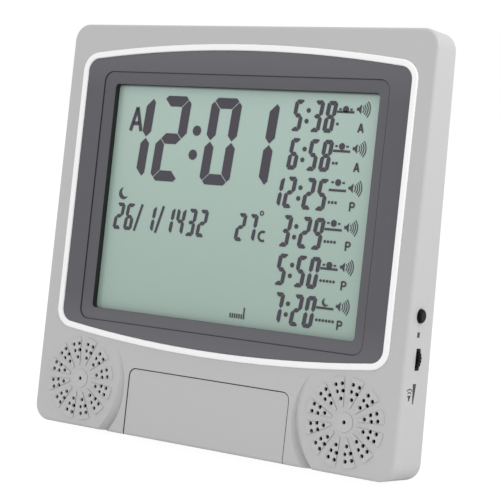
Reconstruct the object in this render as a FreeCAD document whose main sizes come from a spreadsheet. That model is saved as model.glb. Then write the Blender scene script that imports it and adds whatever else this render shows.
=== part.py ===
import FreeCAD
import Part
import Sketcher
import math
import os

# Digital azan clock: a wedge-shaped grey case with a white-ringed dark screen surround,
# two speaker grilles with a drop-down key door between them, a stop button and a volume
# wheel on its right side, and a fold-out leg on its back. Every piece is drawn upright in
# the case's own frame: X across, Y from the front face into the case, Z up the front face
# from its bottom edge. The whole clock is then leaned back so that it stands on its leg.

DIMENSIONS = [
    ("case_width", 210.0),
    ("case_height", 202.0),
    ("case_corner", 8.4),
    ("case_edge", 1.4),
    ("side_depth_top", 15.7),
    ("side_depth_bottom", 24.6),
    ("case_depth", 29.0),
    ("wall", 2.2),
    ("lean_angle", 10.83),
    ("rest_facet", 0.35),
    ("screen_middle", 118.05),
    ("ring_half_width", 96.5),
    ("ring_half_height", 75.05),
    ("ring_crown_radius", 722.0),
    ("ring_corner", 9.5),
    ("ring_width", 3.1),
    ("ring_proud", 0.8),
    ("ring_flange", 1.2),
    ("step_half_width", 82.3),
    ("step_bottom", 54.0),
    ("step_top", 178.3),
    ("step_corner", 5.0),
    ("window_half_width", 76.6),
    ("window_bottom", 59.8),
    ("window_top", 172.5),
    ("window_corner", 2.0),
    ("bevel_depth", 2.2),
    ("glass_depth", 5.6),
    ("glass_thickness", 2.8),
    ("grille_across", 77.3),
    ("grille_height", 23.7),
    ("wedge_count", 12),
    ("wedge_inner", 7.3),
    ("wedge_outer", 20.6),
    ("wedge_inner_half", 0.62),
    ("wedge_outer_half", 3.25),
    ("wedge_proud", 0.5),
    ("grille_boss", 4.5),
    ("grille_hole", 0.95),
    ("scoop_centre_across", 82.9),
    ("scoop_centre_height", 23.2),
    ("scoop_radius", 32.5),
    ("scoop_depth", 3.9),
    ("scoop_grille_side", 3.2),
    ("scoop_door_side", 2.8),
    ("door_half_width", 46.5),
    ("door_height", 32.5),
    ("door_corner", 3.4),
    ("door_thickness", 2.0),
    ("door_set_back", 0.3),
    ("door_gap", 0.5),
    ("door_lip", 7.6),
    ("door_axis_depth", 3.8),
    ("door_axis_height", 3.0),
    ("door_pin", 1.2),
    ("pin_clearance", 0.05),
    ("bay_depth", 9.5),
    ("bay_wall", 1.6),
    ("key_pitch", 13.0),
    ("key_width", 8.4),
    ("key_tall", 6.4),
    ("key_height", 18.0),
    ("key_slack", 0.3),
    ("stop_depth", 9.4),
    ("stop_height", 74.8),
    ("stop_radius", 3.2),
    ("stop_proud", 1.6),
    ("wheel_depth", 11.0),
    ("wheel_height", 55.4),
    ("wheel_radius", 8.0),
    ("wheel_proud", 1.2),
    ("wheel_thickness", 2.8),
    ("wheel_gap", 0.4),
    ("wheel_notches", 30),
    ("speaker_radius", 20.0),
    ("board_front", 12.2),
    ("board_thickness", 1.6),
    ("key_mat_front", 15.0),
    ("side_board_left", 92.0),
    ("leg_half_width", 33.0),
    ("leg_length", 46.0),
    ("leg_thickness", 3.2),
    ("leg_axis_depth", 27.0),
    ("leg_axis_height", 10.6),
    ("leg_pin", 1.3),
    ("leg_gap", 0.5),
    ("cell_radius", 7.25),
    ("cell_length", 50.5),
    ("cell_pitch", 15.3),
    ("cell_depth", 19.45),
    ("cell_height", 143.0),
    ("lid_thickness", 2.0),
    ("lid_pin", 0.8),
    ("screw_head", 2.6),
    ("screw_shank", 1.2),
]

doc = FreeCAD.newDocument("azan_clock")
sheet = doc.addObject("Spreadsheet::Sheet", "sizes")
for row, (alias, number) in enumerate(DIMENSIONS, start=1):
    sheet.set("A%d" % row, alias)
    sheet.set("B%d" % row, str(number))
    sheet.setAlias("B%d" % row, alias)
doc.recompute()


def size(alias):
    return float(getattr(sheet, alias))


def vec(x, y, z):
    return FreeCAD.Vector(x, y, z)


LEAN = size("lean_angle")
BACK_EDGE_DROP = size("side_depth_bottom") * math.sin(math.radians(LEAN))
FLOOR_LIFT = BACK_EDGE_DROP - size("rest_facet")
LEANING = FreeCAD.Placement(vec(0, 0, FLOOR_LIFT), FreeCAD.Rotation(vec(1, 0, 0), -LEAN))
KEY_NAMES = ["mode_key", "set_key", "hour_key", "minute_key", "alarm_key", "light_key"]
NODES = []


def seam_depth(height):
    """Depth of the joint plane between case and cover at a height up the front face."""
    top = size("side_depth_top")
    bottom = size("side_depth_bottom")
    return bottom - (bottom - top) * height / size("case_height")


def finish(thing, label, place=None):
    """Name a finished piece and lean it back with the rest of the clock."""
    if thing.TypeId in ("Part::Box", "Part::Cylinder"):
        thing.Label = label + "_solid"
        thing = group(label + "_piece", [thing])
    thing.Label = label
    own = place if place is not None else FreeCAD.Placement()
    thing.Placement = LEANING.multiply(own)
    NODES.append(thing)
    return thing


def new_body(name):
    return doc.addObject("PartDesign::Body", name)


def new_sketch(body, name, role="XZ_Plane", offset=None):
    sketch = body.newObject("Sketcher::SketchObject", name)
    planes = [f for f in body.Origin.OriginFeatures if f.Role == role]
    sketch.AttachmentSupport = (planes[0], "")
    sketch.MapMode = "FlatFace"
    if offset is not None:
        sketch.AttachmentOffset = FreeCAD.Placement(offset, FreeCAD.Rotation())
    return sketch


def outline(sketch, points):
    """Closed loop of straight lines; a point of four numbers starts an arc through the last two."""
    for here, there in zip(points, points[1:] + points[:1]):
        start = vec(here[0], here[1], 0)
        end = vec(there[0], there[1], 0)
        if len(here) == 4:
            edge = Part.Arc(start, vec(here[2], here[3], 0), end)
        else:
            edge = Part.LineSegment(start, end)
        sketch.addGeometry(edge, False)


def rounded_outline(sketch, half_width, bottom, top, radius):
    """Rounded rectangle centred on the sketch's upright axis."""
    points = []
    for x, z, turn in ((1, 1, 0), (-1, 1, 90), (-1, -1, 180), (1, -1, 270)):
        across = x * (half_width - radius)
        up = (top - radius) if z > 0 else (bottom + radius)
        arc = []
        for angle in (turn, turn + 45, turn + 90):
            bend = math.radians(angle)
            arc.append((across + radius * math.cos(bend), up + radius * math.sin(bend)))
        points.append(arc[0] + arc[1])
        points.append(arc[2])
    outline(sketch, points)


def rectangle(sketch, left, bottom, width, height):
    """Rectangle whose four driving dimensions are expressions of the sheet."""
    first = sketch.GeometryCount
    corners = [vec(0, 0, 0), vec(9, 0, 0), vec(9, 9, 0), vec(0, 9, 0)]
    for index in range(4):
        line = Part.LineSegment(corners[index], corners[(index + 1) % 4])
        sketch.addGeometry(line, False)
    for index in range(4):
        after = first + (index + 1) % 4
        sketch.addConstraint(Sketcher.Constraint("Coincident", first + index, 2, after, 1))
    for index in (0, 2):
        sketch.addConstraint(Sketcher.Constraint("Horizontal", first + index))
    for index in (1, 3):
        sketch.addConstraint(Sketcher.Constraint("Vertical", first + index))
    dimension(sketch, "DistanceX", (-1, 1, first, 1), left)
    dimension(sketch, "DistanceY", (-1, 1, first, 1), bottom)
    dimension(sketch, "DistanceX", (first, 1, first, 2), width)
    dimension(sketch, "DistanceY", (first + 1, 1, first + 1, 2), height)


def circle(sketch, across, up, radius):
    """Circle bound to the sheet by its centre and radius."""
    index = sketch.addGeometry(Part.Circle(vec(1, 1, 0), vec(0, 0, 1), 1), False)
    dimension(sketch, "DistanceX", (-1, 1, index, 3), across)
    dimension(sketch, "DistanceY", (-1, 1, index, 3), up)
    dimension(sketch, "Radius", (index,), radius)


def dimension(sketch, kind, places, formula):
    index = sketch.addConstraint(Sketcher.Constraint(kind, *places, 1.0))
    sketch.setExpression("Constraints[%d]" % index, formula)


def feature(body, kind, sketch, length, backwards=True):
    """Pad or pocket of a sketch; backwards means along +Y, into the case."""
    made = body.newObject("PartDesign::" + kind, kind)
    made.Profile = sketch
    made.Reversed = backwards == (kind == "Pad")
    made.setExpression("Length", length)
    sketch.Visibility = False
    doc.recompute()
    return made


def parallel_edges(shape, direction, wanted):
    """Names of the straight edges along a direction that a test accepts."""
    names = []
    for index, edge in enumerate(shape.Edges, start=1):
        if edge.Curve.TypeId != "Part::GeomLine":
            continue
        if abs(abs(edge.tangentAt(edge.FirstParameter).dot(direction)) - 1) > 1e-4:
            continue
        if wanted(edge.CenterOfMass):
            names.append("Edge%d" % index)
    return names


def round_edges(body, names, radius, kind="Fillet", setting="Radius"):
    before = body.Tip
    made = body.newObject("PartDesign::" + kind, kind)
    made.Base = (before, names)
    made.setExpression(setting, radius)
    doc.recompute()
    return made


def block(name, corner, spans):
    """Box from its low corner, with sizes and place as expressions of the sheet."""
    made = doc.addObject("Part::Box", name)
    for key, formula in zip(("Length", "Width", "Height"), spans):
        made.setExpression(key, str(formula))
    for key, formula in zip("xyz", corner):
        made.setExpression("Placement.Base." + key, str(formula))
    return made


def rod(name, start, radius, length, along="Y"):
    """Cylinder that starts at a point and runs along +X, +Y or +Z."""
    turns = {"X": (vec(0, 1, 0), 90), "Y": (vec(1, 0, 0), -90), "Z": (vec(0, 0, 1), 0)}
    made = doc.addObject("Part::Cylinder", name)
    made.Placement = FreeCAD.Placement(vec(0, 0, 0), FreeCAD.Rotation(*turns[along]))
    made.setExpression("Radius", str(radius))
    made.setExpression("Height", str(length))
    for key, formula in zip("xyz", start):
        made.setExpression("Placement.Base." + key, str(formula))
    return made


def join(name, pieces):
    made = doc.addObject("Part::MultiFuse", name)
    made.Shapes = pieces
    return made


def cut(name, base, tools):
    made = doc.addObject("Part::Cut", name)
    made.Base = base
    made.Tool = tools[0] if len(tools) == 1 else join(name + "_tools", tools)
    return made


def group(name, pieces):
    """Separate solids kept side by side in one piece."""
    made = doc.addObject("Part::Compound", name)
    made.Links = pieces
    return made


def plain(name, shape):
    made = doc.addObject("Part::Feature", name)
    made.Shape = shape
    return made


def turned(name, profile):
    """Body turned about the Y axis from a list of radius and depth corners."""
    body = new_body(name)
    sketch = new_sketch(body, name + "_profile", "XY_Plane")
    outline(sketch, profile)
    spin = body.newObject("PartDesign::Revolution", name + "_turn")
    spin.Profile = sketch
    spin.ReferenceAxis = (sketch, ["V_Axis"])
    spin.Angle = 360
    return body


# Case outline and screen outlines

def crowned_outline(sketch, inset):
    """Screen outline with straight sides and gently crowned top and bottom edges."""
    half = size("ring_half_width") - inset
    high = size("ring_half_height") - inset
    radius = size("ring_crown_radius") - inset
    crown = radius - math.sqrt(radius ** 2 - half ** 2)
    middle = size("screen_middle")
    shoulder = high - crown
    outline(sketch, [
        (-half, middle - shoulder, 0, middle - high),
        (half, middle - shoulder),
        (half, middle + shoulder, 0, middle + high),
        (-half, middle + shoulder),
    ])


def crowned_plate(body, name, front, depth, inset, kind="Pad"):
    """Pad or pocket of the crowned outline from one depth over a thickness, corners rounded."""
    sketch = new_sketch(body, name, offset=vec(0, 0, -front))
    crowned_outline(sketch, inset)
    made = feature(body, kind, sketch, depth)
    half = size("ring_half_width") - inset
    middle = front + float(made.Length) / 2

    def at_corner(point):
        return abs(abs(point.x) - half) < 0.01 and abs(point.y - middle) < 2.0
    names = parallel_edges(body.Shape, vec(0, 1, 0), at_corner)
    round_edges(body, names, "sizes.ring_corner - %g" % inset)
    return made


SCREW_SPOTS = [(98.5, 6.5), (95.5, 194.8), (51.0, 38.9)]


def screw_places():
    """Case screws: both sides of each spot, and one at the top middle."""
    spots = [(side * x, z) for x, z in SCREW_SPOTS for side in (-1, 1)]
    return spots + [(0.0, 197.2)]


# Front housing: moulded shell with the speaker grilles, door bay, bosses and side openings

def housing_shell(body):
    sketch = new_sketch(body, "case_outline")
    rectangle(sketch, "-sizes.case_width / 2", "0", "sizes.case_width", "sizes.case_height")
    feature(body, "Pad", sketch, "sizes.side_depth_bottom")
    corners = parallel_edges(body.Shape, vec(0, 1, 0), lambda point: True)
    round_edges(body, corners, "sizes.case_corner")
    rim = ["Edge%d" % (i + 1) for i, e in enumerate(body.Shape.Edges)
           if e.BoundBox.YMax < 0.01]
    round_edges(body, rim, "sizes.case_edge")
    hollow = new_sketch(body, "hollow_outline", offset=vec(0, 0, -size("side_depth_bottom")))
    rounded_outline(hollow, size("case_width") / 2 - size("wall"), size("wall"),
                    size("case_height") - size("wall"), size("case_corner") - size("wall"))
    feature(body, "Pocket", hollow, "sizes.side_depth_bottom - sizes.wall", backwards=False)


def housing_bosses(body):
    """Screw bosses, speaker collars and the tray behind the key door."""
    bosses = new_sketch(body, "boss_circles", offset=vec(0, 0, -size("wall") + 0.5))
    for x, z in screw_places():
        circle(bosses, "%g" % x, "%g" % z, "2.9" if z < 196 else "2.4")
    feature(body, "Pad", bosses, "sizes.side_depth_bottom - sizes.wall")
    for side in (-1, 1):
        collar = new_sketch(body, "speaker_collar", offset=vec(0, 0, -size("wall") + 0.5))
        for extra in (0.3, 1.8):
            circle(collar, "%d * sizes.grille_across" % side, "sizes.grille_height",
                   "sizes.speaker_radius + %g" % extra)
        feature(body, "Pad", collar, "4.5")
    tray = new_sketch(body, "tray_block", offset=vec(0, 0, -0.5))
    rectangle(tray, "-sizes.door_half_width - 2.3", "0.5",
              "2 * sizes.door_half_width + 4.6", "sizes.door_height + 1.8")
    feature(body, "Pad", tray, "sizes.bay_depth + sizes.bay_wall - 0.5")
    posts = new_sketch(body, "key_board_posts", offset=vec(0, 0, -size("bay_depth")))
    for x, z in key_board_spots():
        circle(posts, "%g" % x, "%g" % z, "2.2")
    feature(body, "Pad", posts, "6.3")


def key_board_spots():
    return [(side * 43.0, z) for z in (8.0, 28.0) for side in (-1, 1)]


def housing_openings(body):
    """Screen opening, key tray and its wrap under the case, key holes and screw pilots."""
    crowned_plate(body, "screen_opening", -1.0, "sizes.wall + 1.5", -0.05, "Pocket")
    bay = new_sketch(body, "tray_opening", offset=vec(0, 0, 1))
    rectangle(bay, "-sizes.door_half_width - sizes.door_gap", "sizes.wall",
              "2 * (sizes.door_half_width + sizes.door_gap)",
              "sizes.door_height + sizes.door_gap - sizes.wall")
    feature(body, "Pocket", bay, "sizes.bay_depth + 1")
    half = size("door_half_width") + size("door_gap")
    corners = parallel_edges(body.Shape, vec(0, 1, 0), lambda p: abs(abs(p.x) - half) < 0.01
                             and abs(p.z - size("door_height") - size("door_gap")) < 0.01)
    round_edges(body, corners, "sizes.door_corner + sizes.door_gap")
    wrap = new_sketch(body, "wrap_opening", offset=vec(0, 0, 1))
    rectangle(wrap, "-sizes.door_half_width - sizes.door_gap", "-1",
              "2 * (sizes.door_half_width + sizes.door_gap)", "sizes.wall + 1.5")
    feature(body, "Pocket", wrap, "sizes.door_lip + 2.3")
    holes = new_sketch(body, "key_holes", offset=vec(0, 0, 0))
    for index in range(len(KEY_NAMES)):
        rectangle(holes, "(%g) * sizes.key_pitch - sizes.key_width / 2 - sizes.key_slack"
                  % (index - 2.5), "sizes.key_height - sizes.key_tall / 2 - sizes.key_slack",
                  "sizes.key_width + 2 * sizes.key_slack", "sizes.key_tall + 2 * sizes.key_slack")
    feature(body, "Pocket", holes, "sizes.bay_depth + sizes.bay_wall + 1")
    key_pilots = new_sketch(body, "key_board_pilots", offset=vec(0, 0, -size("bay_depth") - 6.3))
    for x, z in key_board_spots():
        circle(key_pilots, "%g" % x, "%g" % z, "sizes.screw_shank")
    feature(body, "Pocket", key_pilots, "4", False)
    pilots = new_sketch(body, "screw_pilots", offset=vec(0, 0, -size("side_depth_bottom")))
    for x, z in screw_places():
        circle(pilots, "%g" % x, "%g" % z, "sizes.screw_shank")
    feature(body, "Pocket", pilots, "sizes.side_depth_bottom - sizes.wall - 1.5", False)


def grille(body, side):
    """Twelve raised wedges with five sound holes each, round a domed centre boss."""
    centre = vec(side * size("grille_across"), size("grille_height"), 0)
    turn = math.radians(15)

    def polar(radius, angle):
        return (radius * math.cos(turn + angle), radius * math.sin(turn + angle))

    inner = size("wedge_inner")
    outer = size("wedge_outer")
    spread_in = math.asin(size("wedge_inner_half") / inner)
    spread_out = math.asin(size("wedge_outer_half") / outer)
    wedge = new_sketch(body, "wedge", offset=centre + vec(0, 0, -0.4))
    outline(wedge, [
        polar(inner, -spread_in),
        polar(outer, -spread_out) + polar(outer, 0),
        polar(outer, spread_out),
        polar(inner, spread_in) + polar(inner - 0.5, 0),
    ])
    pad = feature(body, "Pad", wedge, "sizes.wedge_proud + 0.4", backwards=False)
    repeat(body, pad, wedge)
    boss = new_sketch(body, "centre_boss", offset=centre + vec(0, 0, -0.4))
    circle(boss, "0", "0", "sizes.grille_boss")
    feature(body, "Pad", boss, "sizes.wedge_proud + 0.2", backwards=False)
    holes = new_sketch(body, "sound_holes", offset=centre + vec(0, 0, 2))
    spots = [polar(10.76, 0)]
    for radius, spread in ((14.19, 5.92), (17.47, 5.56)):
        spots += [polar(radius, math.radians(sign * spread)) for sign in (-1, 1)]
    for x, z in spots:
        circle(holes, "%.3f" % x, "%.3f" % z, "sizes.grille_hole")
    pocket = feature(body, "Pocket", holes, "sizes.wall + 3")
    repeat(body, pocket, holes)
    middle = new_sketch(body, "centre_hole", offset=centre + vec(0, 0, 2))
    circle(middle, "0", "0", "sizes.grille_hole")
    feature(body, "Pocket", middle, "sizes.wall + 3")


def repeat(body, original, sketch):
    pattern = body.newObject("PartDesign::PolarPattern", "round_the_grille")
    pattern.Originals = [original]
    pattern.Axis = (sketch, ["N_Axis"])
    pattern.Angle = 360
    pattern.Occurrences = int(size("wedge_count"))
    body.Tip = pattern
    doc.recompute()


def scoop(side, extra):
    """Crescent groove beside the door: a lofted V that deepens down to the bottom edge."""
    radius = size("scoop_radius")
    centre = vec(side * size("scoop_centre_across"), 0, size("scoop_centre_height"))
    top_angle = 37.0
    bottom_angle = -50.0
    shallowest = 0.05
    above = 0.6
    steps = 14
    sections = []
    for step in range(steps + 1):
        share = step / steps
        angle = math.radians(top_angle + (bottom_angle - top_angle) * share)
        toward = vec(-side * math.cos(angle), 0, math.sin(angle))
        depth = shallowest + size("scoop_depth") * share + extra
        inward = size("scoop_grille_side") * math.sin(math.pi * (0.08 + 0.66 * share)) + extra
        outward = shallowest + size("scoop_door_side") * share + extra
        corners = [(0, depth), (outward, 0), (outward, -above), (-inward, -above), (-inward, 0),
                   (0, depth)]
        sections.append(Part.makePolygon([
            centre + toward * (radius + reach) + vec(0, down, 0) for reach, down in corners]))
    return Part.makeLoft(sections, True, True)


def front_housing():
    body = new_body("housing_body")
    housing_shell(body)
    housing_bosses(body)
    housing_openings(body)
    for side in (-1, 1):
        grille(body, side)
    inside = Part.makeBox(size("case_width") - 2, size("side_depth_bottom"), 60,
                          vec(1 - size("case_width") / 2, 1.5, 0.8))
    backing = Part.makeCompound([scoop(side, 1.9).common(inside) for side in (-1, 1)])
    bay_room = Part.makeBox(2 * (size("door_half_width") + size("door_gap")), 30, 34,
                            vec(-size("door_half_width") - size("door_gap"), -5, 0))
    backing = plain("scoop_backing", backing.cut(bay_room))
    scoops = plain("scoop_cutters", Part.makeCompound([scoop(side, 0) for side in (-1, 1)]))
    shell = cut("scooped_shell", join("backed_shell", [body, backing]), [scoops])
    return cut("front_housing", shell, housing_cutters())


def housing_cutters():
    """Joint plane, side openings, door pin holes and the facet that stands on the table."""
    wide = size("case_width") + 20
    tall = size("case_height")
    past = 12.0
    wedge = Part.makePolygon([
        vec(-wide / 2, seam_depth(-past), -past),
        vec(-wide / 2, seam_depth(tall + past), tall + past),
        vec(-wide / 2, 60, tall + past),
        vec(-wide / 2, 60, -past),
        vec(-wide / 2, seam_depth(-past), -past),
    ])
    joint = plain("joint_plane", Part.Face(wedge).extrude(vec(wide, 0, 0)))
    floor = plain("table_plane", Part.makeBox(wide, 200, 40, vec(-wide / 2, -40, -40)))
    floor.Placement = LEANING.inverse()
    stop = rod("stop_hole", ("sizes.case_width / 2 - 6", "sizes.stop_depth", "sizes.stop_height"),
               "sizes.stop_radius + 0.15", "10", "X")
    wheel = rod("wheel_slot", (
        "sizes.case_width / 2 + sizes.wheel_proud - sizes.wheel_radius",
        "sizes.wheel_depth - sizes.wheel_thickness / 2 - 0.6", "sizes.wheel_height"),
        "sizes.wheel_radius + sizes.wheel_gap", "sizes.wheel_thickness + 1.2")
    pins = rod("door_pin_holes", ("-sizes.door_half_width - 1.9", "sizes.door_axis_depth",
                                  "sizes.door_axis_height"),
               "sizes.door_pin + sizes.pin_clearance", "2 * sizes.door_half_width + 3.8", "X")
    return [joint, floor, stop, wheel, pins]


# Rear cover: tapered shell with the battery box, the leg tray and two hanging keyholes

def rounded_wire(half_width, bottom, top, radius, depth_at):
    """Rounded rectangle in a plane whose depth is a function of height."""
    points = []
    for x, z, turn in ((1, 1, 0), (-1, 1, 90), (-1, -1, 180), (1, -1, 270)):
        cx = x * (half_width - radius)
        cz = (top - radius) if z > 0 else (bottom + radius)
        for angle in (turn, turn + 45, turn + 90):
            a = math.radians(angle)
            px = cx + radius * math.cos(a)
            pz = cz + radius * math.sin(a)
            points.append(vec(px, depth_at(pz), pz))
    edges = []
    for corner in range(4):
        first = points[3 * corner: 3 * corner + 3]
        after = points[(3 * corner + 3) % 12]
        edges.append(Part.Arc(*first).toShape())
        edges.append(Part.LineSegment(first[2], after).toShape())
    return Part.Wire(edges)


def cover_hull(inset, back):
    """Solid lofted from the joint plane to the flat back."""
    half = size("case_width") / 2
    tall = size("case_height")
    front = rounded_wire(half - 1.0 - inset, 1.0 + inset, tall - 1.0 - inset, 7.4 - inset,
                         seam_depth)
    rear = rounded_wire(half - 13.0 - inset, 6.0 + inset, tall - 14.0 - inset, 9.0 - inset,
                        lambda height: back)
    return Part.makeLoft([front, rear], True, True)


def battery_box_blocks():
    """Outer and inner boxes of the three-cell battery box."""
    half = size("cell_length") / 2 + 2.0
    high = 1.5 * size("cell_pitch") + 0.4
    low = size("cell_height") - high
    floor = size("cell_depth") - size("cell_radius")
    inner = Part.makeBox(2 * half, 40, 2 * high, vec(-half, floor, low))
    outer = Part.makeBox(2 * half + 2.4, size("case_depth") - floor + 1.2, 2 * high + 2.4,
                         vec(-half - 1.2, floor - 1.2, low - 1.2))
    return outer, inner


def lid_seat():
    """Rebate that the battery lid lies in."""
    half = size("cell_length") / 2 + 5.0
    high = 1.5 * size("cell_pitch") + 3.4
    return Part.makeBox(2 * half, 10, 2 * high,
                        vec(-half, size("case_depth") - size("lid_thickness") - 0.1,
                            size("cell_height") - high))


def lid_hinge_place():
    """Axis of the battery lid, in the middle of its rounded lower edge."""
    bead = size("lid_thickness") / 2
    low = size("cell_height") - 1.5 * size("cell_pitch") - 3.0
    return vec(0, size("case_depth") - bead, low + bead)


def keyhole(x, z):
    """Round entry with a narrow slot above it."""
    entry = Part.makeCylinder(4.2, 12, vec(x, size("case_depth") - 6, z), vec(0, 1, 0))
    slot = Part.makeBox(4.4, 12, 9, vec(x - 2.2, size("case_depth") - 6, z))
    end = Part.makeCylinder(2.2, 12, vec(x, size("case_depth") - 6, z + 9), vec(0, 1, 0))
    return entry.fuse([slot, end])


def rear_cover():
    back = size("case_depth")
    hull = cover_hull(0.0, back)
    shell = hull.cut(cover_hull(1.9, back - 1.9))
    outer_box, inner_box = battery_box_blocks()
    seat = lid_seat()
    grown_seat = Part.makeBox(seat.BoundBox.XLength + 3, 3.6, seat.BoundBox.ZLength + 3,
                              vec(seat.BoundBox.XMin - 1.5, back - 3.6, seat.BoundBox.ZMin - 1.5))
    half = size("leg_half_width") + size("leg_gap")
    tray_floor = size("leg_axis_depth") - size("leg_thickness") / 2 - 0.3
    low = size("leg_axis_height") - size("leg_thickness") / 2 - 0.2
    tray_height = size("leg_length") + 6.0
    tray = Part.makeBox(2 * half, 20, tray_height, vec(-half, tray_floor, low))
    tray_walls = Part.makeBox(2 * half + 4, 20, tray_height + 2,
                              vec(-half - 2, tray_floor - 1.5, low)).common(hull)
    notch = Part.makeCylinder(9, 4, vec(0, back - 1.8, low + tray_height), vec(0, 1, 0))
    solids = [outer_box, grown_seat, tray_walls]
    cutters = [inner_box, seat, tray, notch, keyhole(-66, 150), keyhole(66, 150)]
    for x, z in screw_places():
        depth = seam_depth(z)
        radius = 3.9 if z < 196 else 3.2
        post = Part.makeCylinder(radius, 30, vec(x, depth - 1, z), vec(0, 1, 0))
        solids.append(post.common(hull))
        cutters.append(Part.makeCylinder(size("screw_shank") + 0.3, 40, vec(x, 0, z), vec(0, 1, 0)))
        cutters.append(Part.makeCylinder(size("screw_head") + 0.3, 40, vec(x, depth + 2.0, z),
                                         vec(0, 1, 0)))
    pins = Part.makeCylinder(size("leg_pin") + size("pin_clearance"), 2 * half + 3.4,
                             vec(-half - 1.7, size("leg_axis_depth"), size("leg_axis_height")),
                             vec(1, 0, 0))
    cutters.append(pins)
    lid_axis = lid_hinge_place()
    cutters.append(Part.makeCylinder(size("lid_pin") + size("pin_clearance"),
                                     seat.BoundBox.XLength + 2.0,
                                     vec(seat.BoundBox.XMin - 1.0, lid_axis.y, lid_axis.z),
                                     vec(1, 0, 0)))
    return plain("rear_cover", shell.fuse(solids).cut(cutters).removeSplitter())


# Screen: white ring, dark surround, liquid crystal panel, holder and contact strip

def trim_ring():
    body = new_body("trim_ring_body")
    crowned_plate(body, "ring_face", -size("ring_proud"), "sizes.ring_proud + sizes.wall", 0.0)
    crowned_plate(body, "ring_flange", size("wall"), "sizes.ring_flange",
                  -size("ring_flange"))
    crowned_plate(body, "ring_inside", -2.0, "8", size("ring_width"), "Pocket")
    rim = [i for i, e in enumerate(body.Shape.Edges, 1)
           if abs(e.BoundBox.YMax + size("ring_proud")) < 0.01]
    round_edges(body, ["Edge%d" % i for i in rim], "0.7")
    return body


def step_frustum():
    """Bevel between the step line and the window, lofted between rounded rectangles."""
    start = rounded_wire(size("step_half_width"), size("step_bottom"), size("step_top"),
                         size("step_corner"), lambda height: 0.55)
    above = rounded_wire(size("step_half_width"), size("step_bottom"), size("step_top"),
                         size("step_corner"), lambda height: -3.0)
    end = rounded_wire(size("window_half_width"), size("window_bottom"), size("window_top"),
                       size("window_corner"), lambda height: size("bevel_depth"))
    return Part.makeLoft([above, start], True, True).fuse(Part.makeLoft([start, end], True, True))


def build_bezel():
    body = new_body("bezel_body")
    crowned_plate(body, "bezel_face", 0.1, "4.6", size("ring_width") + 0.1)
    crowned_plate(body, "bezel_flange", size("wall") + size("ring_flange"), "1.2", 0.6)
    well = rounded_wire(size("window_half_width"), size("window_bottom"), size("window_top"),
                        size("window_corner"), lambda height: -1.0)
    wall_out = rounded_wire(size("window_half_width") + 5, size("window_bottom") - 5,
                            size("window_top") + 5, 4.0, lambda height: 4.0)
    skirt = Part.Face(wall_out).extrude(vec(0, size("glass_depth") - 4.0, 0))
    window = Part.Face(well).extrude(vec(0, 20, 0))
    posts = [Part.makeCylinder(2.6, 4.4, vec(x, 4.0, z), vec(0, 1, 0)) for x, z in holder_spots()]
    pilots = [Part.makeCylinder(size("screw_shank"), 6, vec(x, 3.4, z), vec(0, 1, 0))
              for x, z in holder_spots()]
    solid = join("bezel_solid", [body, plain("bezel_skirt", skirt),
                                 plain("bezel_posts", Part.makeCompound(posts))])
    return cut("screen_bezel", solid, [plain("bezel_bevel", step_frustum()),
                                       plain("bezel_window", window),
                                       plain("bezel_pilots", Part.makeCompound(pilots))])


def holder_spots():
    return [(side * 86.5, z) for z in (66.0, 170.0) for side in (-1, 1)]


def board_spots():
    return [(side * 79.0, z) for z in (66.0, 106.0) for side in (-1, 1)]


def lcd_panel():
    body = new_body("lcd_body")
    sketch = new_sketch(body, "glass_outline", offset=vec(0, 0, -size("glass_depth")))
    rectangle(sketch, "-sizes.window_half_width - 3.4", "sizes.window_bottom - 3",
              "2 * sizes.window_half_width + 6.8", "sizes.window_top - sizes.window_bottom + 6")
    feature(body, "Pad", sketch, "sizes.glass_thickness")
    return body


def lcd_holder():
    """Frame that presses the glass against the surround and carries the main board."""
    body = new_body("holder_body")
    front = size("glass_depth") + size("glass_thickness")
    sketch = new_sketch(body, "holder_outline", offset=vec(0, 0, -front))
    rectangle(sketch, "-90", "55.5", "180", "121")
    rectangle(sketch, "-sizes.window_half_width + 1.5", "sizes.window_bottom + 1",
              "2 * sizes.window_half_width - 3", "sizes.window_top - sizes.window_bottom - 2")
    feature(body, "Pad", sketch, "2.2")
    posts = new_sketch(body, "board_posts", offset=vec(0, 0, -front - 2.0))
    for x, z in board_spots():
        circle(posts, "%g" % x, "%g" % z, "2.4")
    feature(body, "Pad", posts, "1.8")
    holes = new_sketch(body, "holder_holes", offset=vec(0, 0, 0))
    for x, z in board_spots() + holder_spots():
        circle(holes, "%g" % x, "%g" % z, "sizes.screw_shank")
    feature(body, "Pocket", holes, "20")
    return body


def main_board():
    board = block("main_board_blank", ("-82", "sizes.board_front", "61.5"),
                  ("164", "sizes.board_thickness", "50"))
    holes = [rod("board_hole", (str(x), "5", str(z)), "sizes.screw_shank", "20")
             for x, z in board_spots()]
    return cut("main_circuit_board", board, holes)


def contact_strip():
    front = size("glass_depth") + size("glass_thickness")
    return block("contact_strip", ("-62", str(front), "62.2"),
                 ("124", "sizes.board_front - %g" % front, "2.6"))


def screw_group(name, spots, seat_depth, shank_length, head_radius):
    """Pan-head screws as separate solids in one piece."""
    pieces = []
    for x, z in spots:
        seat = seat_depth(z)
        head = rod("head", (str(x), str(seat), str(z)), str(head_radius), "1.6")
        shank = rod("shank", (str(x), str(seat - shank_length), str(z)), "sizes.screw_shank - 0.02",
                    str(shank_length + 0.4))
        cross = join("cross_slot", [
            block("slot_a", (str(x - 1.2), str(seat + 0.9), str(z - 0.3)), ("2.4", "2", "0.6")),
            block("slot_b", (str(x - 0.3), str(seat + 0.9), str(z - 1.2)), ("0.6", "2", "2.4"))])
        pieces.append(cut("screw", join("screw_blank", [head, shank]), [cross]))
    return group(name, pieces)


# Key door, keys, key mat and key board

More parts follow.
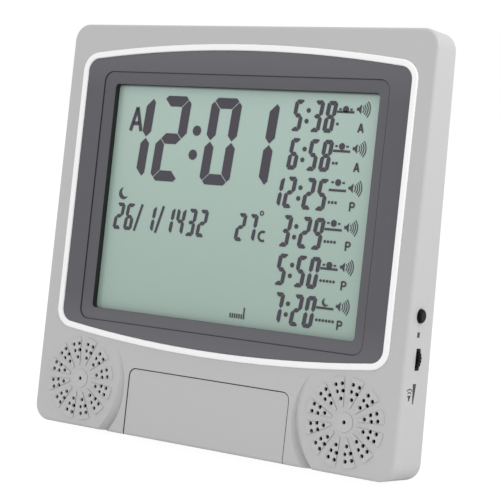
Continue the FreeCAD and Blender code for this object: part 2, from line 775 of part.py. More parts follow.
def front_door():
    """Drop-down flap: front plate, lip that wraps under the case, ears and hinge pins."""
    body = new_body("door_body")
    front = size("door_set_back")
    plate = new_sketch(body, "door_plate", offset=vec(0, 0, -front))
    rectangle(plate, "-sizes.door_half_width", "0", "2 * sizes.door_half_width",
              "sizes.door_height")
    feature(body, "Pad", plate, "sizes.door_thickness")
    corners = parallel_edges(body.Shape, vec(0, 1, 0), lambda p: p.z > size("door_height") - 1)
    round_edges(body, corners, "sizes.door_corner")
    lip = new_sketch(body, "door_lip", offset=vec(0, 0, -front))
    rectangle(lip, "-sizes.door_half_width", "0", "2 * sizes.door_half_width",
              "sizes.door_thickness")
    feature(body, "Pad", lip, "sizes.door_lip - sizes.door_set_back")
    low = [i for i, e in enumerate(body.Shape.Edges, 1) if e.BoundBox.ZMax < 0.01
           and e.BoundBox.YMax < front + 0.01 and e.Length > 10]
    round_edges(body, ["Edge%d" % i for i in low], "sizes.case_edge")
    ears = new_sketch(body, "door_ears", offset=vec(0, 0, -front - 1.5))
    for left in ("-sizes.door_half_width", "sizes.door_half_width - 3"):
        rectangle(ears, left, "0.8", "3", "sizes.door_axis_height + 1.2")
    feature(body, "Pad", ears, "sizes.door_axis_depth + 0.4")
    ribs = new_sketch(body, "door_ribs", offset=vec(0, 0, -front - 1.5))
    for left in (-24.0, 23.0):
        rectangle(ribs, "%g" % left, "1", "1", "sizes.door_height - 6")
    feature(body, "Pad", ribs, "1.7")
    pins = [rod("door_pin", (start, "sizes.door_axis_depth", "sizes.door_axis_height"),
                "sizes.door_pin", "3.3", "X")
            for start in ("-sizes.door_half_width - 1.8", "sizes.door_half_width - 1.5")]
    return join("front_door", [body] + pins)


def key_cap(index, name):
    """Key: rounded cap through its hole, a flange behind the tray and a plunger."""
    body = new_body(name + "_body")
    left = "(%g) * sizes.key_pitch" % (index - 2.5)
    cap = new_sketch(body, name + "_cap", offset=vec(0, 0, -size("bay_depth") + 1.5))
    rectangle(cap, left + " - sizes.key_width / 2", "sizes.key_height - sizes.key_tall / 2",
              "sizes.key_width", "sizes.key_tall")
    feature(body, "Pad", cap, "sizes.bay_wall + 1.8")
    corners = parallel_edges(body.Shape, vec(0, 1, 0), lambda p: True)
    round_edges(body, corners, "1.6")
    rim = [i for i, e in enumerate(body.Shape.Edges, 1)
           if e.BoundBox.YMax < size("bay_depth") - 1.4]
    round_edges(body, ["Edge%d" % i for i in rim], "0.5", "Chamfer", "Size")
    flange = new_sketch(body, name + "_flange",
                        offset=vec(0, 0, -size("bay_depth") - size("bay_wall") - 0.1))
    rectangle(flange, left + " - sizes.key_width / 2 - 1",
              "sizes.key_height - sizes.key_tall / 2 - 1", "sizes.key_width + 2",
              "sizes.key_tall + 2")
    feature(body, "Pad", flange, "1.0")
    post = new_sketch(body, name + "_post",
                      offset=vec(0, 0, -size("bay_depth") - size("bay_wall") - 1.0))
    circle(post, left, "sizes.key_height", "1.5")
    feature(body, "Pad", post, "1.1")
    return body


def key_mat():
    """Silicone mat with one dome under each key."""
    sheet_block = block("mat_sheet", ("-40", "sizes.key_mat_front", "11"), ("80", "0.8", "14"))
    domes = []
    for index in range(len(KEY_NAMES)):
        dome = doc.addObject("Part::Cone", "dome")
        dome.Radius1 = 1.8
        dome.Radius2 = 3.0
        dome.Height = 1.2
        dome.Placement = FreeCAD.Placement(
            vec((index - 2.5) * size("key_pitch"), size("key_mat_front") - 1.0, size("key_height")),
            FreeCAD.Rotation(vec(1, 0, 0), -90))
        domes.append(dome)
    return join("key_mat", [sheet_block] + domes)


def key_board():
    board = block("key_board_blank", ("-46", "sizes.key_mat_front + 0.8", "4"),
                  ("92", "1.4", "28"))
    holes = [rod("key_board_hole", (str(x), "5", str(z)), "sizes.screw_shank", "20")
             for x, z in key_board_spots()]
    return cut("key_circuit_board", board, holes)


# Speakers

def speaker(side, word):
    place = FreeCAD.Placement(vec(side * size("grille_across"), 0, size("grille_height")),
                              FreeCAD.Rotation())
    rim = size("speaker_radius")
    front = size("wall")
    frame = turned(word + "_speaker_frame", [
        (rim - 2.4, front), (rim, front), (rim, front + 1.2), (rim - 1.6, front + 1.2),
        (11.6, 8.6), (11.6, 9.6), (5.0, 9.6), (5.0, 8.8), (10.4, 8.0),
        (rim - 2.4, front + 1.0)])
    finish(frame, word + "_speaker_frame", place)
    cone = turned(word + "_speaker_cone", [
        (0.0, 5.2), (3.0, 5.6), (5.4, 7.2), (rim - 3.2, front + 0.9), (rim - 2.5, front + 0.4),
        (rim - 2.5, front + 0.9), (rim - 3.2, front + 1.3), (5.2, 7.7), (2.8, 6.1), (0.0, 5.7)])
    finish(cone, word + "_speaker_cone", place)
    magnet = turned(word + "_speaker_magnet", [
        (0, 9.6), (10.5, 9.6), (11.0, 10.1), (11.0, 14.6), (10.2, 15.4), (2.0, 15.4), (2.0, 14.9),
        (0, 14.9)])
    finish(magnet, word + "_speaker_magnet", place)


# Side controls

def stop_button():
    """Domed button that slides in the side wall, with a flange inside."""
    half = size("case_width") / 2
    radius = size("stop_radius")
    tip = size("stop_proud")
    body = new_body("stop_body")
    sketch = new_sketch(body, "stop_profile", "XY_Plane")
    inner = size("wall") + 0.1
    outline(sketch, [
        (0, tip), (0, -6.6), (1.2, -6.6), (1.2, -inner - 1.2), (4.4, -inner - 1.2),
        (4.4, -inner), (radius, -inner), (radius, tip - 1.0, radius * 0.88, tip - 0.3),
        (radius * 0.6, tip)])
    spin = body.newObject("PartDesign::Revolution", "stop_turn")
    spin.Profile = sketch
    spin.ReferenceAxis = (sketch, ["V_Axis"])
    spin.Angle = 360
    place = FreeCAD.Placement(vec(half, size("stop_depth"), size("stop_height")),
                              FreeCAD.Rotation(vec(0, 0, 1), -90))
    return finish(body, "stop_button", place)


def wheel_centre():
    across = size("case_width") / 2 + size("wheel_proud") - size("wheel_radius")
    return vec(across, size("wheel_depth"), size("wheel_height"))


def volume_wheel():
    """Thumb wheel with a notched rim on the potentiometer's shaft."""
    body = new_body("wheel_body")
    disc = new_sketch(body, "wheel_disc", offset=vec(0, 0, size("wheel_thickness") / 2))
    circle(disc, "0", "0", "sizes.wheel_radius")
    circle(disc, "0", "0", "1.55")
    feature(body, "Pad", disc, "sizes.wheel_thickness")
    notch = new_sketch(body, "wheel_notch", offset=vec(0, 0, 5))
    radius = size("wheel_radius")
    outline(notch, [(radius - 0.5, 0), (radius + 1, -0.8), (radius + 1, 0.8)])
    pocket = feature(body, "Pocket", notch, "10")
    pattern = body.newObject("PartDesign::PolarPattern", "notches")
    pattern.Originals = [pocket]
    pattern.Axis = (notch, ["N_Axis"])
    pattern.Angle = 360
    pattern.Occurrences = int(size("wheel_notches"))
    body.Tip = pattern
    return finish(body, "volume_wheel", FreeCAD.Placement(wheel_centre(), FreeCAD.Rotation()))


def side_controls():
    """Small upright board that carries the stop switch and the volume potentiometer."""
    centre = wheel_centre()
    left = str(size("side_board_left"))
    board = block("side_board_blank", (left + " - 1.6", "6", "48"), ("1.6", "14", "33"))
    wheel_room = rod("wheel_room", (str(centre.x), "sizes.wheel_depth - sizes.wheel_thickness / 2"
                                    " - 0.6", str(centre.z)),
                     "sizes.wheel_radius + 0.6", "sizes.wheel_thickness + 1.2")
    finish(cut("side_circuit_board", board, [wheel_room]), "side_circuit_board")
    rear = centre.y + size("wheel_thickness") / 2
    case = block("pot_case", (left, str(rear + 0.5), str(centre.z - 4.8)),
                 ("10.2", "3.6", "9.6"))
    shaft = rod("pot_shaft", (str(centre.x), str(rear - 2.4), str(centre.z)), "1.5", "3.4")
    finish(join("volume_potentiometer", [case, shaft]), "volume_potentiometer")
    switch = block("switch_case", (left, "sizes.stop_depth - 3",
                                   "sizes.stop_height - 3"), ("3.6", "6", "6"))
    plunger = rod("switch_plunger", (left + " + 3.4", "sizes.stop_depth",
                                     "sizes.stop_height"), "1.6", "1.2", "X")
    finish(join("stop_switch", [switch, plunger]), "stop_switch")


# Stand leg and battery parts

def stand_leg():
    """Fold-out leg, drawn in its open position square to the back."""
    body = new_body("leg_body")
    half = size("leg_thickness") / 2
    length = size("leg_length")
    wide = size("leg_half_width")
    plate = new_sketch(body, "leg_plan", "XY_Plane", vec(0, 0, -half))
    outline(plate, [(-wide, 0), (wide, 0), (wide, length * 0.45), (wide - 7, length - 4),
                    (wide - 13, length), (-wide + 13, length), (-wide + 7, length - 4),
                    (-wide, length * 0.45)])
    feature(body, "Pad", plate, "sizes.leg_thickness", backwards=False)
    window = new_sketch(body, "leg_relief", "XY_Plane", vec(0, 0, 0.2))
    outline(window, [(-wide + 4, 6), (wide - 4, 6), (wide - 4, length * 0.42),
                     (wide - 11, length - 8), (-wide + 11, length - 8),
                     (-wide + 4, length * 0.42)])
    feature(body, "Pocket", window, "5", backwards=True)
    rib = new_sketch(body, "leg_ribs", "XY_Plane", vec(0, 0, -half))
    for x in (-11.0, 10.0):
        rectangle(rib, "%g" % x, "4", "1.2", "sizes.leg_length - 10")
    feature(body, "Pad", rib, "sizes.leg_thickness / 2 + 0.3", backwards=False)
    knuckle = rod("leg_knuckle", ("-sizes.leg_half_width", "0", "0"), "sizes.leg_thickness / 2",
                  "2 * sizes.leg_half_width", "X")
    pins = rod("leg_pins", ("-sizes.leg_half_width - 1.8", "0", "0"), "sizes.leg_pin",
               "2 * sizes.leg_half_width + 3.6", "X")
    leg = join("leg_blank", [body, knuckle, pins])
    place = FreeCAD.Placement(vec(0, size("leg_axis_depth"), size("leg_axis_height")),
                              FreeCAD.Rotation())
    table = plain("leg_table", Part.makeBox(200, 300, 40, vec(-100, -40, -40)))
    table.Placement = LEANING.multiply(place).inverse()
    return finish(cut("stand_leg", leg, [table]), "stand_leg", place)


def battery_lid():
    """Lid that turns on two pins at its rounded lower edge, with a sprung latch at its top."""
    half = size("cell_length") / 2 + 4.6
    high = 1.5 * size("cell_pitch") + 3.0
    top = size("cell_height") + high
    back = size("case_depth")
    thick = size("lid_thickness")
    axis = lid_hinge_place()
    plate = Part.makeBox(2 * half, thick, top - axis.z, vec(-half, back - thick, axis.z))
    corners = [e for e in plate.Edges
               if abs(e.Length - thick) < 0.01 and e.BoundBox.ZMin > axis.z + 1]
    plate = plate.makeFillet(1.5, corners)
    bead = Part.makeCylinder(thick / 2, 2 * half, vec(-half, axis.y, axis.z), vec(1, 0, 0))
    pins = Part.makeCylinder(size("lid_pin"), 2 * half + 2.0,
                             vec(-half - 1.0, axis.y, axis.z), vec(1, 0, 0))
    grip = [Part.makeBox(16, 0.5, 0.9, vec(-8, back - 0.5, top - 8 - 2.2 * n)) for n in range(4)]
    latch_gap = [Part.makeBox(0.8, thick * 2, 9, vec(x, back - thick * 1.5, top - 8.9))
                 for x in (-10.4, 9.6)]
    return plain("battery_door", plate.fuse([bead, pins]).cut(grip + latch_gap))


def battery_cells():
    """Three cells side by side; the middle one lies the other way round."""
    left = -size("cell_length") / 2
    nub_length = 1.3
    pieces = []
    for row in (-1, 0, 1):
        height = str(size("cell_height") + row * size("cell_pitch"))
        can_start = left + nub_length - 0.1 if row == 0 else left
        nub_start = left if row == 0 else -left - nub_length
        can = rod("can", (str(can_start), "sizes.cell_depth", height), "sizes.cell_radius",
                  "sizes.cell_length - %g" % (nub_length - 0.1), "X")
        nub = rod("nub", (str(nub_start), "sizes.cell_depth", height), "2.7", str(nub_length),
                  "X")
        pieces.append(join("cell", [can, nub]))
    return group("battery_cells", pieces)


def battery_contacts():
    """Bent strip contacts that stand in the ends of the battery box."""
    pieces = []
    half = size("cell_length") / 2
    for row in (-1, 0, 1):
        height = size("cell_height") + row * size("cell_pitch")
        for side in (-1, 1):
            left = half + 1.4 if side > 0 else -half - 2.0
            strip = block("strip", (str(left), "sizes.cell_depth - 5", str(height - 5)),
                          ("0.6", "10", "10"))
            bump_start = half + 0.05 if side > 0 else -half - 1.5
            bump = rod("bump", (str(bump_start), "sizes.cell_depth", str(height)), "2.4",
                       "1.45", "X")
            pieces.append(join("contact", [strip, bump]))
    return group("battery_contacts", pieces)


# Electronics on the main board and the internal leads

def board_parts():
    rear = size("board_front") + size("board_thickness")
    chip = block("controller_chip", ("-12", str(rear), "76"), ("20", "2.2", "20"))
    finish(chip, "controller_chip")
    can = rod("crystal_can", ("22", str(rear + 1.6), "84"), "1.5", "8", "Z")
    finish(can, "quartz_crystal")
    caps = [rod("capacitor", (str(x), str(rear), "100"), "4", "9") for x in (-40, -29)]
    finish(group("capacitors", caps), "capacitors")
    finish(block("amplifier_chip", ("40", str(rear), "70"), ("6", "1.8", "9")), "amplifier_chip")


def tube(points, radius):
    """Insulated wire with eight flats, mitred where it changes direction."""
    first = points[1] - points[0]
    across = first.cross(vec(1, 0, 0))
    if across.Length < 0.1:
        across = first.cross(vec(0, 0, 1))
    across = across.normalize() * radius
    spin = FreeCAD.Rotation(first, 360 / 8)
    ring = []
    for _ in range(8):
        ring.append(points[0] + across)
        across = spin.multVec(across)
    sweep = Part.BRepOffsetAPI.MakePipeShell(Part.makePolygon(points))
    sweep.setTransitionMode(1)
    sweep.add(Part.makePolygon(ring + ring[:1]))
    sweep.build()
    sweep.makeSolid()
    return sweep.shape()


def internal_leads():
    rear = size("board_front") + size("board_thickness")
    leads = []
    for side in (-1, 1):
        for lane in (0, 1.4):
            leads.append(tube([
                vec(side * (72 + lane), 15.4, 26 + lane),
                vec(side * (72 + lane), 19.0, 26 + lane),
                vec(side * (72 + lane), 19.0, 68),
                vec(side * (72 + lane), rear, 68)], 0.5))
    finish(plain("speaker_leads", Part.makeCompound(leads)), "speaker_leads")
    box_wall = size("cell_height") - 1.5 * size("cell_pitch") - 1.6
    pair = [tube([vec(x, rear, 108), vec(x, 17.4, 108), vec(x, 17.4, box_wall)], 0.5)
            for x in (-6.0, 6.0)]
    finish(plain("battery_leads", Part.makeCompound(pair)), "battery_leads")
    ribbon = Part.makeBox(14, 0.5, 34, vec(-7, 17.2, 30.0))
    foot = Part.makeBox(14, 17.7 - rear, 0.5, vec(-7, rear, 64.0))
    finish(plain("key_ribbon", ribbon.fuse([foot])), "key_ribbon")


finish(front_housing(), "front_housing")
finish(rear_cover(), "rear_cover")
finish(trim_ring(), "trim_ring")
finish(build_bezel(), "screen_bezel")
finish(lcd_panel(), "lcd_panel")
finish(lcd_holder(), "lcd_holder")
finish(main_board(), "main_circuit_board")
finish(contact_strip(), "contact_strip")
finish(front_door(), "front_door")
for key_index, key_name in enumerate(KEY_NAMES):
    finish(key_cap(key_index, key_name), key_name)
finish(key_mat(), "key_mat")
finish(key_board(), "key_circuit_board")
speaker(-1, "left")
speaker(1, "right")
stop_button()
volume_wheel()
side_controls()
stand_leg()
finish(battery_lid(), "battery_door")
finish(battery_cells(), "battery_cells")
finish(battery_contacts(), "battery_contacts")
board_parts()
internal_leads()
finish(screw_group("case_screws", screw_places(), lambda z: seam_depth(z) + 2.0, 9.0,
                   size("screw_head")), "case_screws")
finish(screw_group("holder_screws", holder_spots(), lambda z: 10.6, 6.0, 2.2), "holder_screws")
board_rear = size("board_front") + size("board_thickness")
finish(screw_group("board_screws", board_spots(), lambda z: board_rear, 3.2, 2.0),
       "board_screws")
key_board_rear = size("key_mat_front") + 2.2
finish(screw_group("key_board_screws", key_board_spots(), lambda z: key_board_rear, 3.4, 2.0),
       "key_board_screws")

doc.recompute()


def centre_on_base():
    """Slide every piece so that the origin is the middle of the clock's footprint."""
    whole = FreeCAD.BoundBox()
    for node in NODES:
        whole.add(node.Shape.optimalBoundingBox(False, False))
    shift = vec(-whole.Center.x, -whole.Center.y, 0)
    for node in NODES:
        node.Placement = FreeCAD.Placement(shift, FreeCAD.Rotation()).multiply(node.Placement)
    doc.recompute()
    return shift


print("origin shift", centre_on_base())


def check_document():
    """Stop before anything is written if a feature failed or a piece is not sound."""
    for thing in doc.Objects:
        if "Invalid" in thing.State or "Error" in thing.State:
            raise RuntimeError("failed feature: " + thing.Name)
    for node in NODES:
        if node.Shape.isNull() or not node.Shape.isValid():
            raise RuntimeError("unsound piece: " + node.Label)


check_document()
os.makedirs("parts", exist_ok=True)
for node in NODES:
    node.Shape.exportStep("parts/" + node.Label + ".step")
print("pieces", len(NODES))
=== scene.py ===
import math

import bmesh
import bpy
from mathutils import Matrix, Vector


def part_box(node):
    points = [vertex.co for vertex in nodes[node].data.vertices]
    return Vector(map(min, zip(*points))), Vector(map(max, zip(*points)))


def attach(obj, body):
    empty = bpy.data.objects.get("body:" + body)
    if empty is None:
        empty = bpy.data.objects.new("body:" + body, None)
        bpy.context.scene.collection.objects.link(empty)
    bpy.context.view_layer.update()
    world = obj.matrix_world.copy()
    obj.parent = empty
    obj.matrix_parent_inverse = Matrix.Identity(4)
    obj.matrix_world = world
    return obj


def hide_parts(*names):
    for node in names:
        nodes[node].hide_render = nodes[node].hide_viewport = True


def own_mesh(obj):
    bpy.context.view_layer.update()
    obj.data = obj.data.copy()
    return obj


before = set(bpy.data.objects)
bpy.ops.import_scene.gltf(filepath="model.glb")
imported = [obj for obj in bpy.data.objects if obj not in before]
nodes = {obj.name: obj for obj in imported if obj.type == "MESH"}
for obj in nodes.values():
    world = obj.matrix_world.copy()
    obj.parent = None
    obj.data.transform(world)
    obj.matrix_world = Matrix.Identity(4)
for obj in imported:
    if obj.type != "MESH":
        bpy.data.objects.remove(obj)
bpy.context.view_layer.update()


# Rear cover, leg and battery door. Three mouldings in light grey plastic with a fine
# spark-eroded grain. The cover is screwed to the front housing from behind, and the leg
# and the battery door turn in it on pins.
MM = 0.001
COVER_GREY = (188, 188, 190)
GRAIN_HEIGHT = 0.1
SOCKET_NAMES = {"metallic": "Metallic", "coat_weight": "Coat Weight",
                "coat_roughness": "Coat Roughness", "specular_ior_level": "Specular IOR Level"}


def add(tree, kind, sockets=None, **settings):
    """A new node. A socket takes a constant or another node's output."""
    made = tree.nodes.new(kind)
    for name, value in settings.items():
        setattr(made, name, value)
    for name, value in (sockets or {}).items():
        if isinstance(value, bpy.types.NodeSocket):
            tree.links.new(value, made.inputs[name])
        else:
            made.inputs[name].default_value = value
    return made


def new_group(name, inputs, outputs):
    tree = bpy.data.node_groups.new(name, "ShaderNodeTree")
    for socket, value in inputs.items():
        made = tree.interface.new_socket(socket, in_out="INPUT", socket_type="NodeSocketFloat")
        made.default_value = value
    for socket in outputs:
        tree.interface.new_socket(socket, in_out="OUTPUT", socket_type="NodeSocketFloat")
    return tree, tree.nodes.new("NodeGroupInput").outputs, tree.nodes.new("NodeGroupOutput").inputs


surface_grain, grain_in, grain_out = new_group(
    "surface_grain", {"Cloud": 30.0, "Grain": 1500.0, "Roughness": 0.4, "Spread": 0.08},
    ("Tone", "Roughness", "Height"))
grain_place = add(surface_grain, "ShaderNodeTexCoord").outputs["Object"]
cloud = add(surface_grain, "ShaderNodeTexNoise", {
    "Vector": grain_place, "Scale": grain_in["Cloud"], "Detail": 3.0})
fine = add(surface_grain, "ShaderNodeTexNoise", {
    "Vector": grain_place, "Scale": grain_in["Grain"], "Detail": 2.0})
centred = add(surface_grain, "ShaderNodeMath", {
    0: fine.outputs[0], 1: 0.5}, operation="SUBTRACT")
varied = add(surface_grain, "ShaderNodeMath", {
    0: centred.outputs[0], 1: grain_in["Spread"], 2: grain_in["Roughness"]},
    operation="MULTIPLY_ADD")
surface_grain.links.new(cloud.outputs[0], grain_out["Tone"])
surface_grain.links.new(varied.outputs[0], grain_out["Roughness"])
surface_grain.links.new(fine.outputs[0], grain_out["Height"])


def linear(*levels):
    """Scene colour of screen levels from 0 to 255."""
    steps = [level / 255 for level in levels]
    return tuple(s / 12.92 if s <= 0.04045 else ((s + 0.055) / 1.055) ** 2.4 for s in steps)


def surface(name, colour, roughness, spread=0.03, cloud_scale=30.0, grain_scale=1500.0,
            relief=0.08, **constants):
    """Principled material whose tone, roughness and relief come from the grain group."""
    made = bpy.data.materials.new(name)
    made.use_nodes = True
    tree = made.node_tree
    grain = add(tree, "ShaderNodeGroup", node_tree=surface_grain)
    grain.inputs["Cloud"].default_value = cloud_scale
    grain.inputs["Grain"].default_value = grain_scale
    grain.inputs["Roughness"].default_value = roughness
    base = linear(*colour)
    tone = add(tree, "ShaderNodeMix", {
        0: grain.outputs["Tone"],
        6: (*[level * (1 - spread) for level in base], 1),
        7: (*[min(1, level * (1 + spread)) for level in base], 1)}, data_type="RGBA")
    bump = add(tree, "ShaderNodeBump", {
        "Height": grain.outputs["Height"], "Strength": relief, "Distance": GRAIN_HEIGHT * MM})
    shader = tree.nodes["Principled BSDF"]
    tree.links.new(tone.outputs[2], shader.inputs["Base Color"])
    tree.links.new(grain.outputs["Roughness"], shader.inputs["Roughness"])
    tree.links.new(bump.outputs[0], shader.inputs["Normal"])
    for socket, value in constants.items():
        shader.inputs[SOCKET_NAMES[socket]].default_value = value
    return made


def dress(made, *names):
    for name in names:
        mesh = nodes[name].data
        mesh.materials.clear()
        mesh.materials.append(made)


cover_plastic = surface("cover_plastic", COVER_GREY, 0.5, spread=0.015, relief=0.2,
                        grain_scale=1100.0)
dress(cover_plastic, "rear_cover", "stand_leg", "battery_door")


# Front housing. One smoother moulding of the same plastic, with both speaker grilles in
# it. It leans back, so places are given on its face in millimetres: across to the right,
# depth into the case and up from its lower edge. The sound holes, the door's gap and the
# feet of the grille's pads are darkened with painted shade.
LEAN = math.radians(10.83)
SIDE_DEPTH = 24.6
REST_FACET = 0.35
FRONT_EDGE = 1.4
CASE_GREY = (194, 194, 195)
GRILLE_ACROSS = 77.3
GRILLE_UP = 23.7
GRILLE_RADIUS = 19.2
HOLE_START = 0.75
HOLE_BLEND = 0.1
HOLE_SHADE_BLACK = (8, 8, 9)
PAD_REACH = 0.9
PAD_SHADE = 0.5
DOOR_HALF_WIDTH = 46.5
DOOR_TOP = 32.5
DOOR_CORNER = 3.0
GAP_REACH = 1.3
GAP_EDGE = 1.0
GAP_FADE = 1.4
GAP_SHADE_BLACK = (10, 10, 11)
OPEN_VIEW = 0.75
CLOSED_VIEW = 0.45

case_low, case_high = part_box("front_housing")
across_shift = (case_low[0] + case_high[0]) / 2 / MM
depth_shift = case_low[1] / MM - FRONT_EDGE * (math.cos(LEAN) + math.sin(LEAN) - 1)
up_shift = SIDE_DEPTH * math.sin(LEAN) - REST_FACET

face_place, _, place_out = new_group("face_place", {}, ("Across", "Depth", "Up"))
object_place = add(face_place, "ShaderNodeTexCoord").outputs["Object"]
for axis, direction, offset in (
        ("Across", (1, 0, 0), across_shift),
        ("Depth", (0, math.cos(LEAN), -math.sin(LEAN)),
         depth_shift * math.cos(LEAN) - up_shift * math.sin(LEAN)),
        ("Up", (0, math.sin(LEAN), math.cos(LEAN)),
         depth_shift * math.sin(LEAN) + up_shift * math.cos(LEAN))):
    reach = add(face_place, "ShaderNodeVectorMath", {
        0: object_place, 1: Vector(direction) / MM}, operation="DOT_PRODUCT")
    moved = add(face_place, "ShaderNodeMath", {
        0: reach.outputs["Value"], 1: offset}, operation="SUBTRACT")
    face_place.links.new(moved.outputs[0], place_out[axis])

box_distance, box_in, box_out = new_group(
    "box_distance", {"Across": 0.0, "Up": 0.0, "Half Width": 1.0, "Half Height": 1.0,
                     "Corner": 0.1}, ("Distance",))
beyond = []
for place, half in (("Across", "Half Width"), ("Up", "Half Height")):
    away = add(box_distance, "ShaderNodeMath", {0: box_in[place]}, operation="ABSOLUTE")
    past = add(box_distance, "ShaderNodeMath", {0: away.outputs[0], 1: box_in[half]},
               operation="SUBTRACT")
    beyond.append(add(box_distance, "ShaderNodeMath", {0: past.outputs[0], 1: box_in["Corner"]}))
outer = add(box_distance, "ShaderNodeCombineXYZ")
for socket, past in zip(("X", "Y"), beyond):
    only_past = add(box_distance, "ShaderNodeMath", {0: past.outputs[0], 1: 0.0},
                    operation="MAXIMUM")
    box_distance.links.new(only_past.outputs[0], outer.inputs[socket])
corner_reach = add(box_distance, "ShaderNodeVectorMath", {0: outer.outputs[0]}, operation="LENGTH")
nearer = add(box_distance, "ShaderNodeMath", {
    0: beyond[0].outputs[0], 1: beyond[1].outputs[0]}, operation="MAXIMUM")
within = add(box_distance, "ShaderNodeMath", {0: nearer.outputs[0], 1: 0.0}, operation="MINIMUM")
summed = add(box_distance, "ShaderNodeMath", {
    0: corner_reach.outputs["Value"], 1: within.outputs[0]})
signed = add(box_distance, "ShaderNodeMath", {0: summed.outputs[0], 1: box_in["Corner"]},
             operation="SUBTRACT")
box_distance.links.new(signed.outputs[0], box_out["Distance"])


def overlay(made, mask, colour):
    """Lays a second colour over a material where the mask is one."""
    tree = made.node_tree
    shader = tree.nodes["Principled BSDF"]
    under = shader.inputs["Base Color"].links[0].from_socket
    laid = add(tree, "ShaderNodeMix", {
        0: mask, 6: under, 7: (*linear(*colour), 1)}, data_type="RGBA")
    tree.links.new(laid.outputs[2], shader.inputs["Base Color"])


def place_in(made, axis):
    return add(made.node_tree, "ShaderNodeGroup", node_tree=face_place).outputs[axis]


def rounded_box_in(made, middle, half_width, half_height, corner):
    """Distance in millimetres outside a rounded rectangle standing on the face."""
    tree = made.node_tree
    up = add(tree, "ShaderNodeMath", {0: place_in(made, "Up"), 1: middle}, operation="SUBTRACT")
    box = add(tree, "ShaderNodeGroup", node_tree=box_distance)
    tree.links.new(place_in(made, "Across"), box.inputs["Across"])
    tree.links.new(up.outputs[0], box.inputs["Up"])
    for socket, value in (("Half Width", half_width), ("Half Height", half_height),
                          ("Corner", corner)):
        box.inputs[socket].default_value = value
    return box.outputs["Distance"]


def ramp_in(made, value, first, last):
    ramp = add(made.node_tree, "ShaderNodeMapRange", {
        "Value": value, "From Min": first, "From Max": last})
    return ramp.outputs["Result"]


def paint_gap_shade(made, reach, where=1.0):
    """Paints shade, from ambient occlusion, on the walls of gaps and holes narrower than the reach.
    """
    hidden = add(made.node_tree, "ShaderNodeAmbientOcclusion", {"Distance": reach * MM}, samples=8)
    shade = add(made.node_tree, "ShaderNodeMath", {
        0: ramp_in(made, hidden.outputs["AO"], OPEN_VIEW, CLOSED_VIEW), 1: where},
        operation="MULTIPLY")
    overlay(made, shade.outputs[0], GAP_SHADE_BLACK)


case_plastic = surface("case_plastic", CASE_GREY, 0.42, spread=0.012, cloud_scale=12.0)
case_tree = case_plastic.node_tree
mirrored = add(case_tree, "ShaderNodeMath", {0: place_in(case_plastic, "Across")},
               operation="ABSOLUTE")
face_point = add(case_tree, "ShaderNodeCombineXYZ", {
    "X": mirrored.outputs[0], "Y": place_in(case_plastic, "Up")})
from_grille = add(case_tree, "ShaderNodeVectorMath", {
    0: face_point.outputs[0], 1: (GRILLE_ACROSS, GRILLE_UP, 0)}, operation="DISTANCE")
in_grille = add(case_tree, "ShaderNodeMath", {
    0: from_grille.outputs["Value"], 1: GRILLE_RADIUS}, operation="LESS_THAN")
# Painted shade: inside the grilles, case walls deeper than HOLE_START are painted near black, so the
# sound holes read dark.
hole_shade = add(case_tree, "ShaderNodeMath", {
    0: in_grille.outputs[0],
    1: ramp_in(case_plastic, place_in(case_plastic, "Depth"), HOLE_START, HOLE_START + HOLE_BLEND)},
    operation="MULTIPLY")
overlay(case_plastic, hole_shade.outputs[0], HOLE_SHADE_BLACK)
# Painted shade at half strength in the narrow hollows round the grille's raised pads.
pad_shade = add(case_tree, "ShaderNodeMath", {0: in_grille.outputs[0], 1: PAD_SHADE},
                operation="MULTIPLY")
paint_gap_shade(case_plastic, PAD_REACH, pad_shade.outputs[0])
# Painted shade in the gap round the front door, fading out away from its edge.
near_door = ramp_in(case_plastic, rounded_box_in(
    case_plastic, 0.0, DOOR_HALF_WIDTH, DOOR_TOP, DOOR_CORNER), GAP_FADE, GAP_EDGE)
paint_gap_shade(case_plastic, GAP_REACH, near_door)
dress(case_plastic, "front_housing")


# Front door. A flat flap of the front's plastic between the grilles. It turns down on
# two pins at its lower edge and covers the keys.
door_plastic = surface("door_plastic", CASE_GREY, 0.42, spread=0.012, cloud_scale=12.0)
# Painted shade on the door's own edges along its gap.
paint_gap_shade(door_plastic, GAP_REACH)
dress(door_plastic, "front_door")


# Trim ring. A glossy white moulding round the screen surround. It sits in the front
# housing's opening with a flange behind the wall.
ring_plastic = surface("ring_plastic", (254, 254, 254), 0.2, spread=0.004, coat_weight=0.3)
dress(ring_plastic, "trim_ring")


# Screen surround. A dark satin grey moulding. Painted light makes it paler where it curves
# above and below the screen, a painted dark line of shade runs along the step round the
# screen, and its inner wall is painted near black as shade.
SURROUND_GREY = (88, 87, 93)
SCREEN_MIDDLE = 118.05
STEP_MIDDLE = 116.15
STEP_HALF_WIDTH = 82.3
STEP_HALF_HEIGHT = 62.15
STEP_CORNER = 5.0
STEP_LINE = 0.32
CURVE_LIGHT_GREY = (104, 104, 110)
PALE_START = 50.0
PALE_END = 76.0
STEP_SHADE_GREY = (34, 34, 37)
WALL_START = 2.3
WALL_BLEND = 0.12
WALL_SHADE_BLACK = (16, 16, 18)
bezel_plastic = surface("bezel_plastic", SURROUND_GREY, 0.38, spread=0.02)
# Painted light: the moulding is painted paler above and below the screen, where its curves catch the
# light.
from_middle = add(bezel_plastic.node_tree, "ShaderNodeMath", {
    0: place_in(bezel_plastic, "Up"), 1: SCREEN_MIDDLE}, operation="SUBTRACT")
away = add(bezel_plastic.node_tree, "ShaderNodeMath", {0: from_middle.outputs[0]},
           operation="ABSOLUTE")
overlay(bezel_plastic, ramp_in(bezel_plastic, away.outputs[0], PALE_START, PALE_END),
        CURVE_LIGHT_GREY)
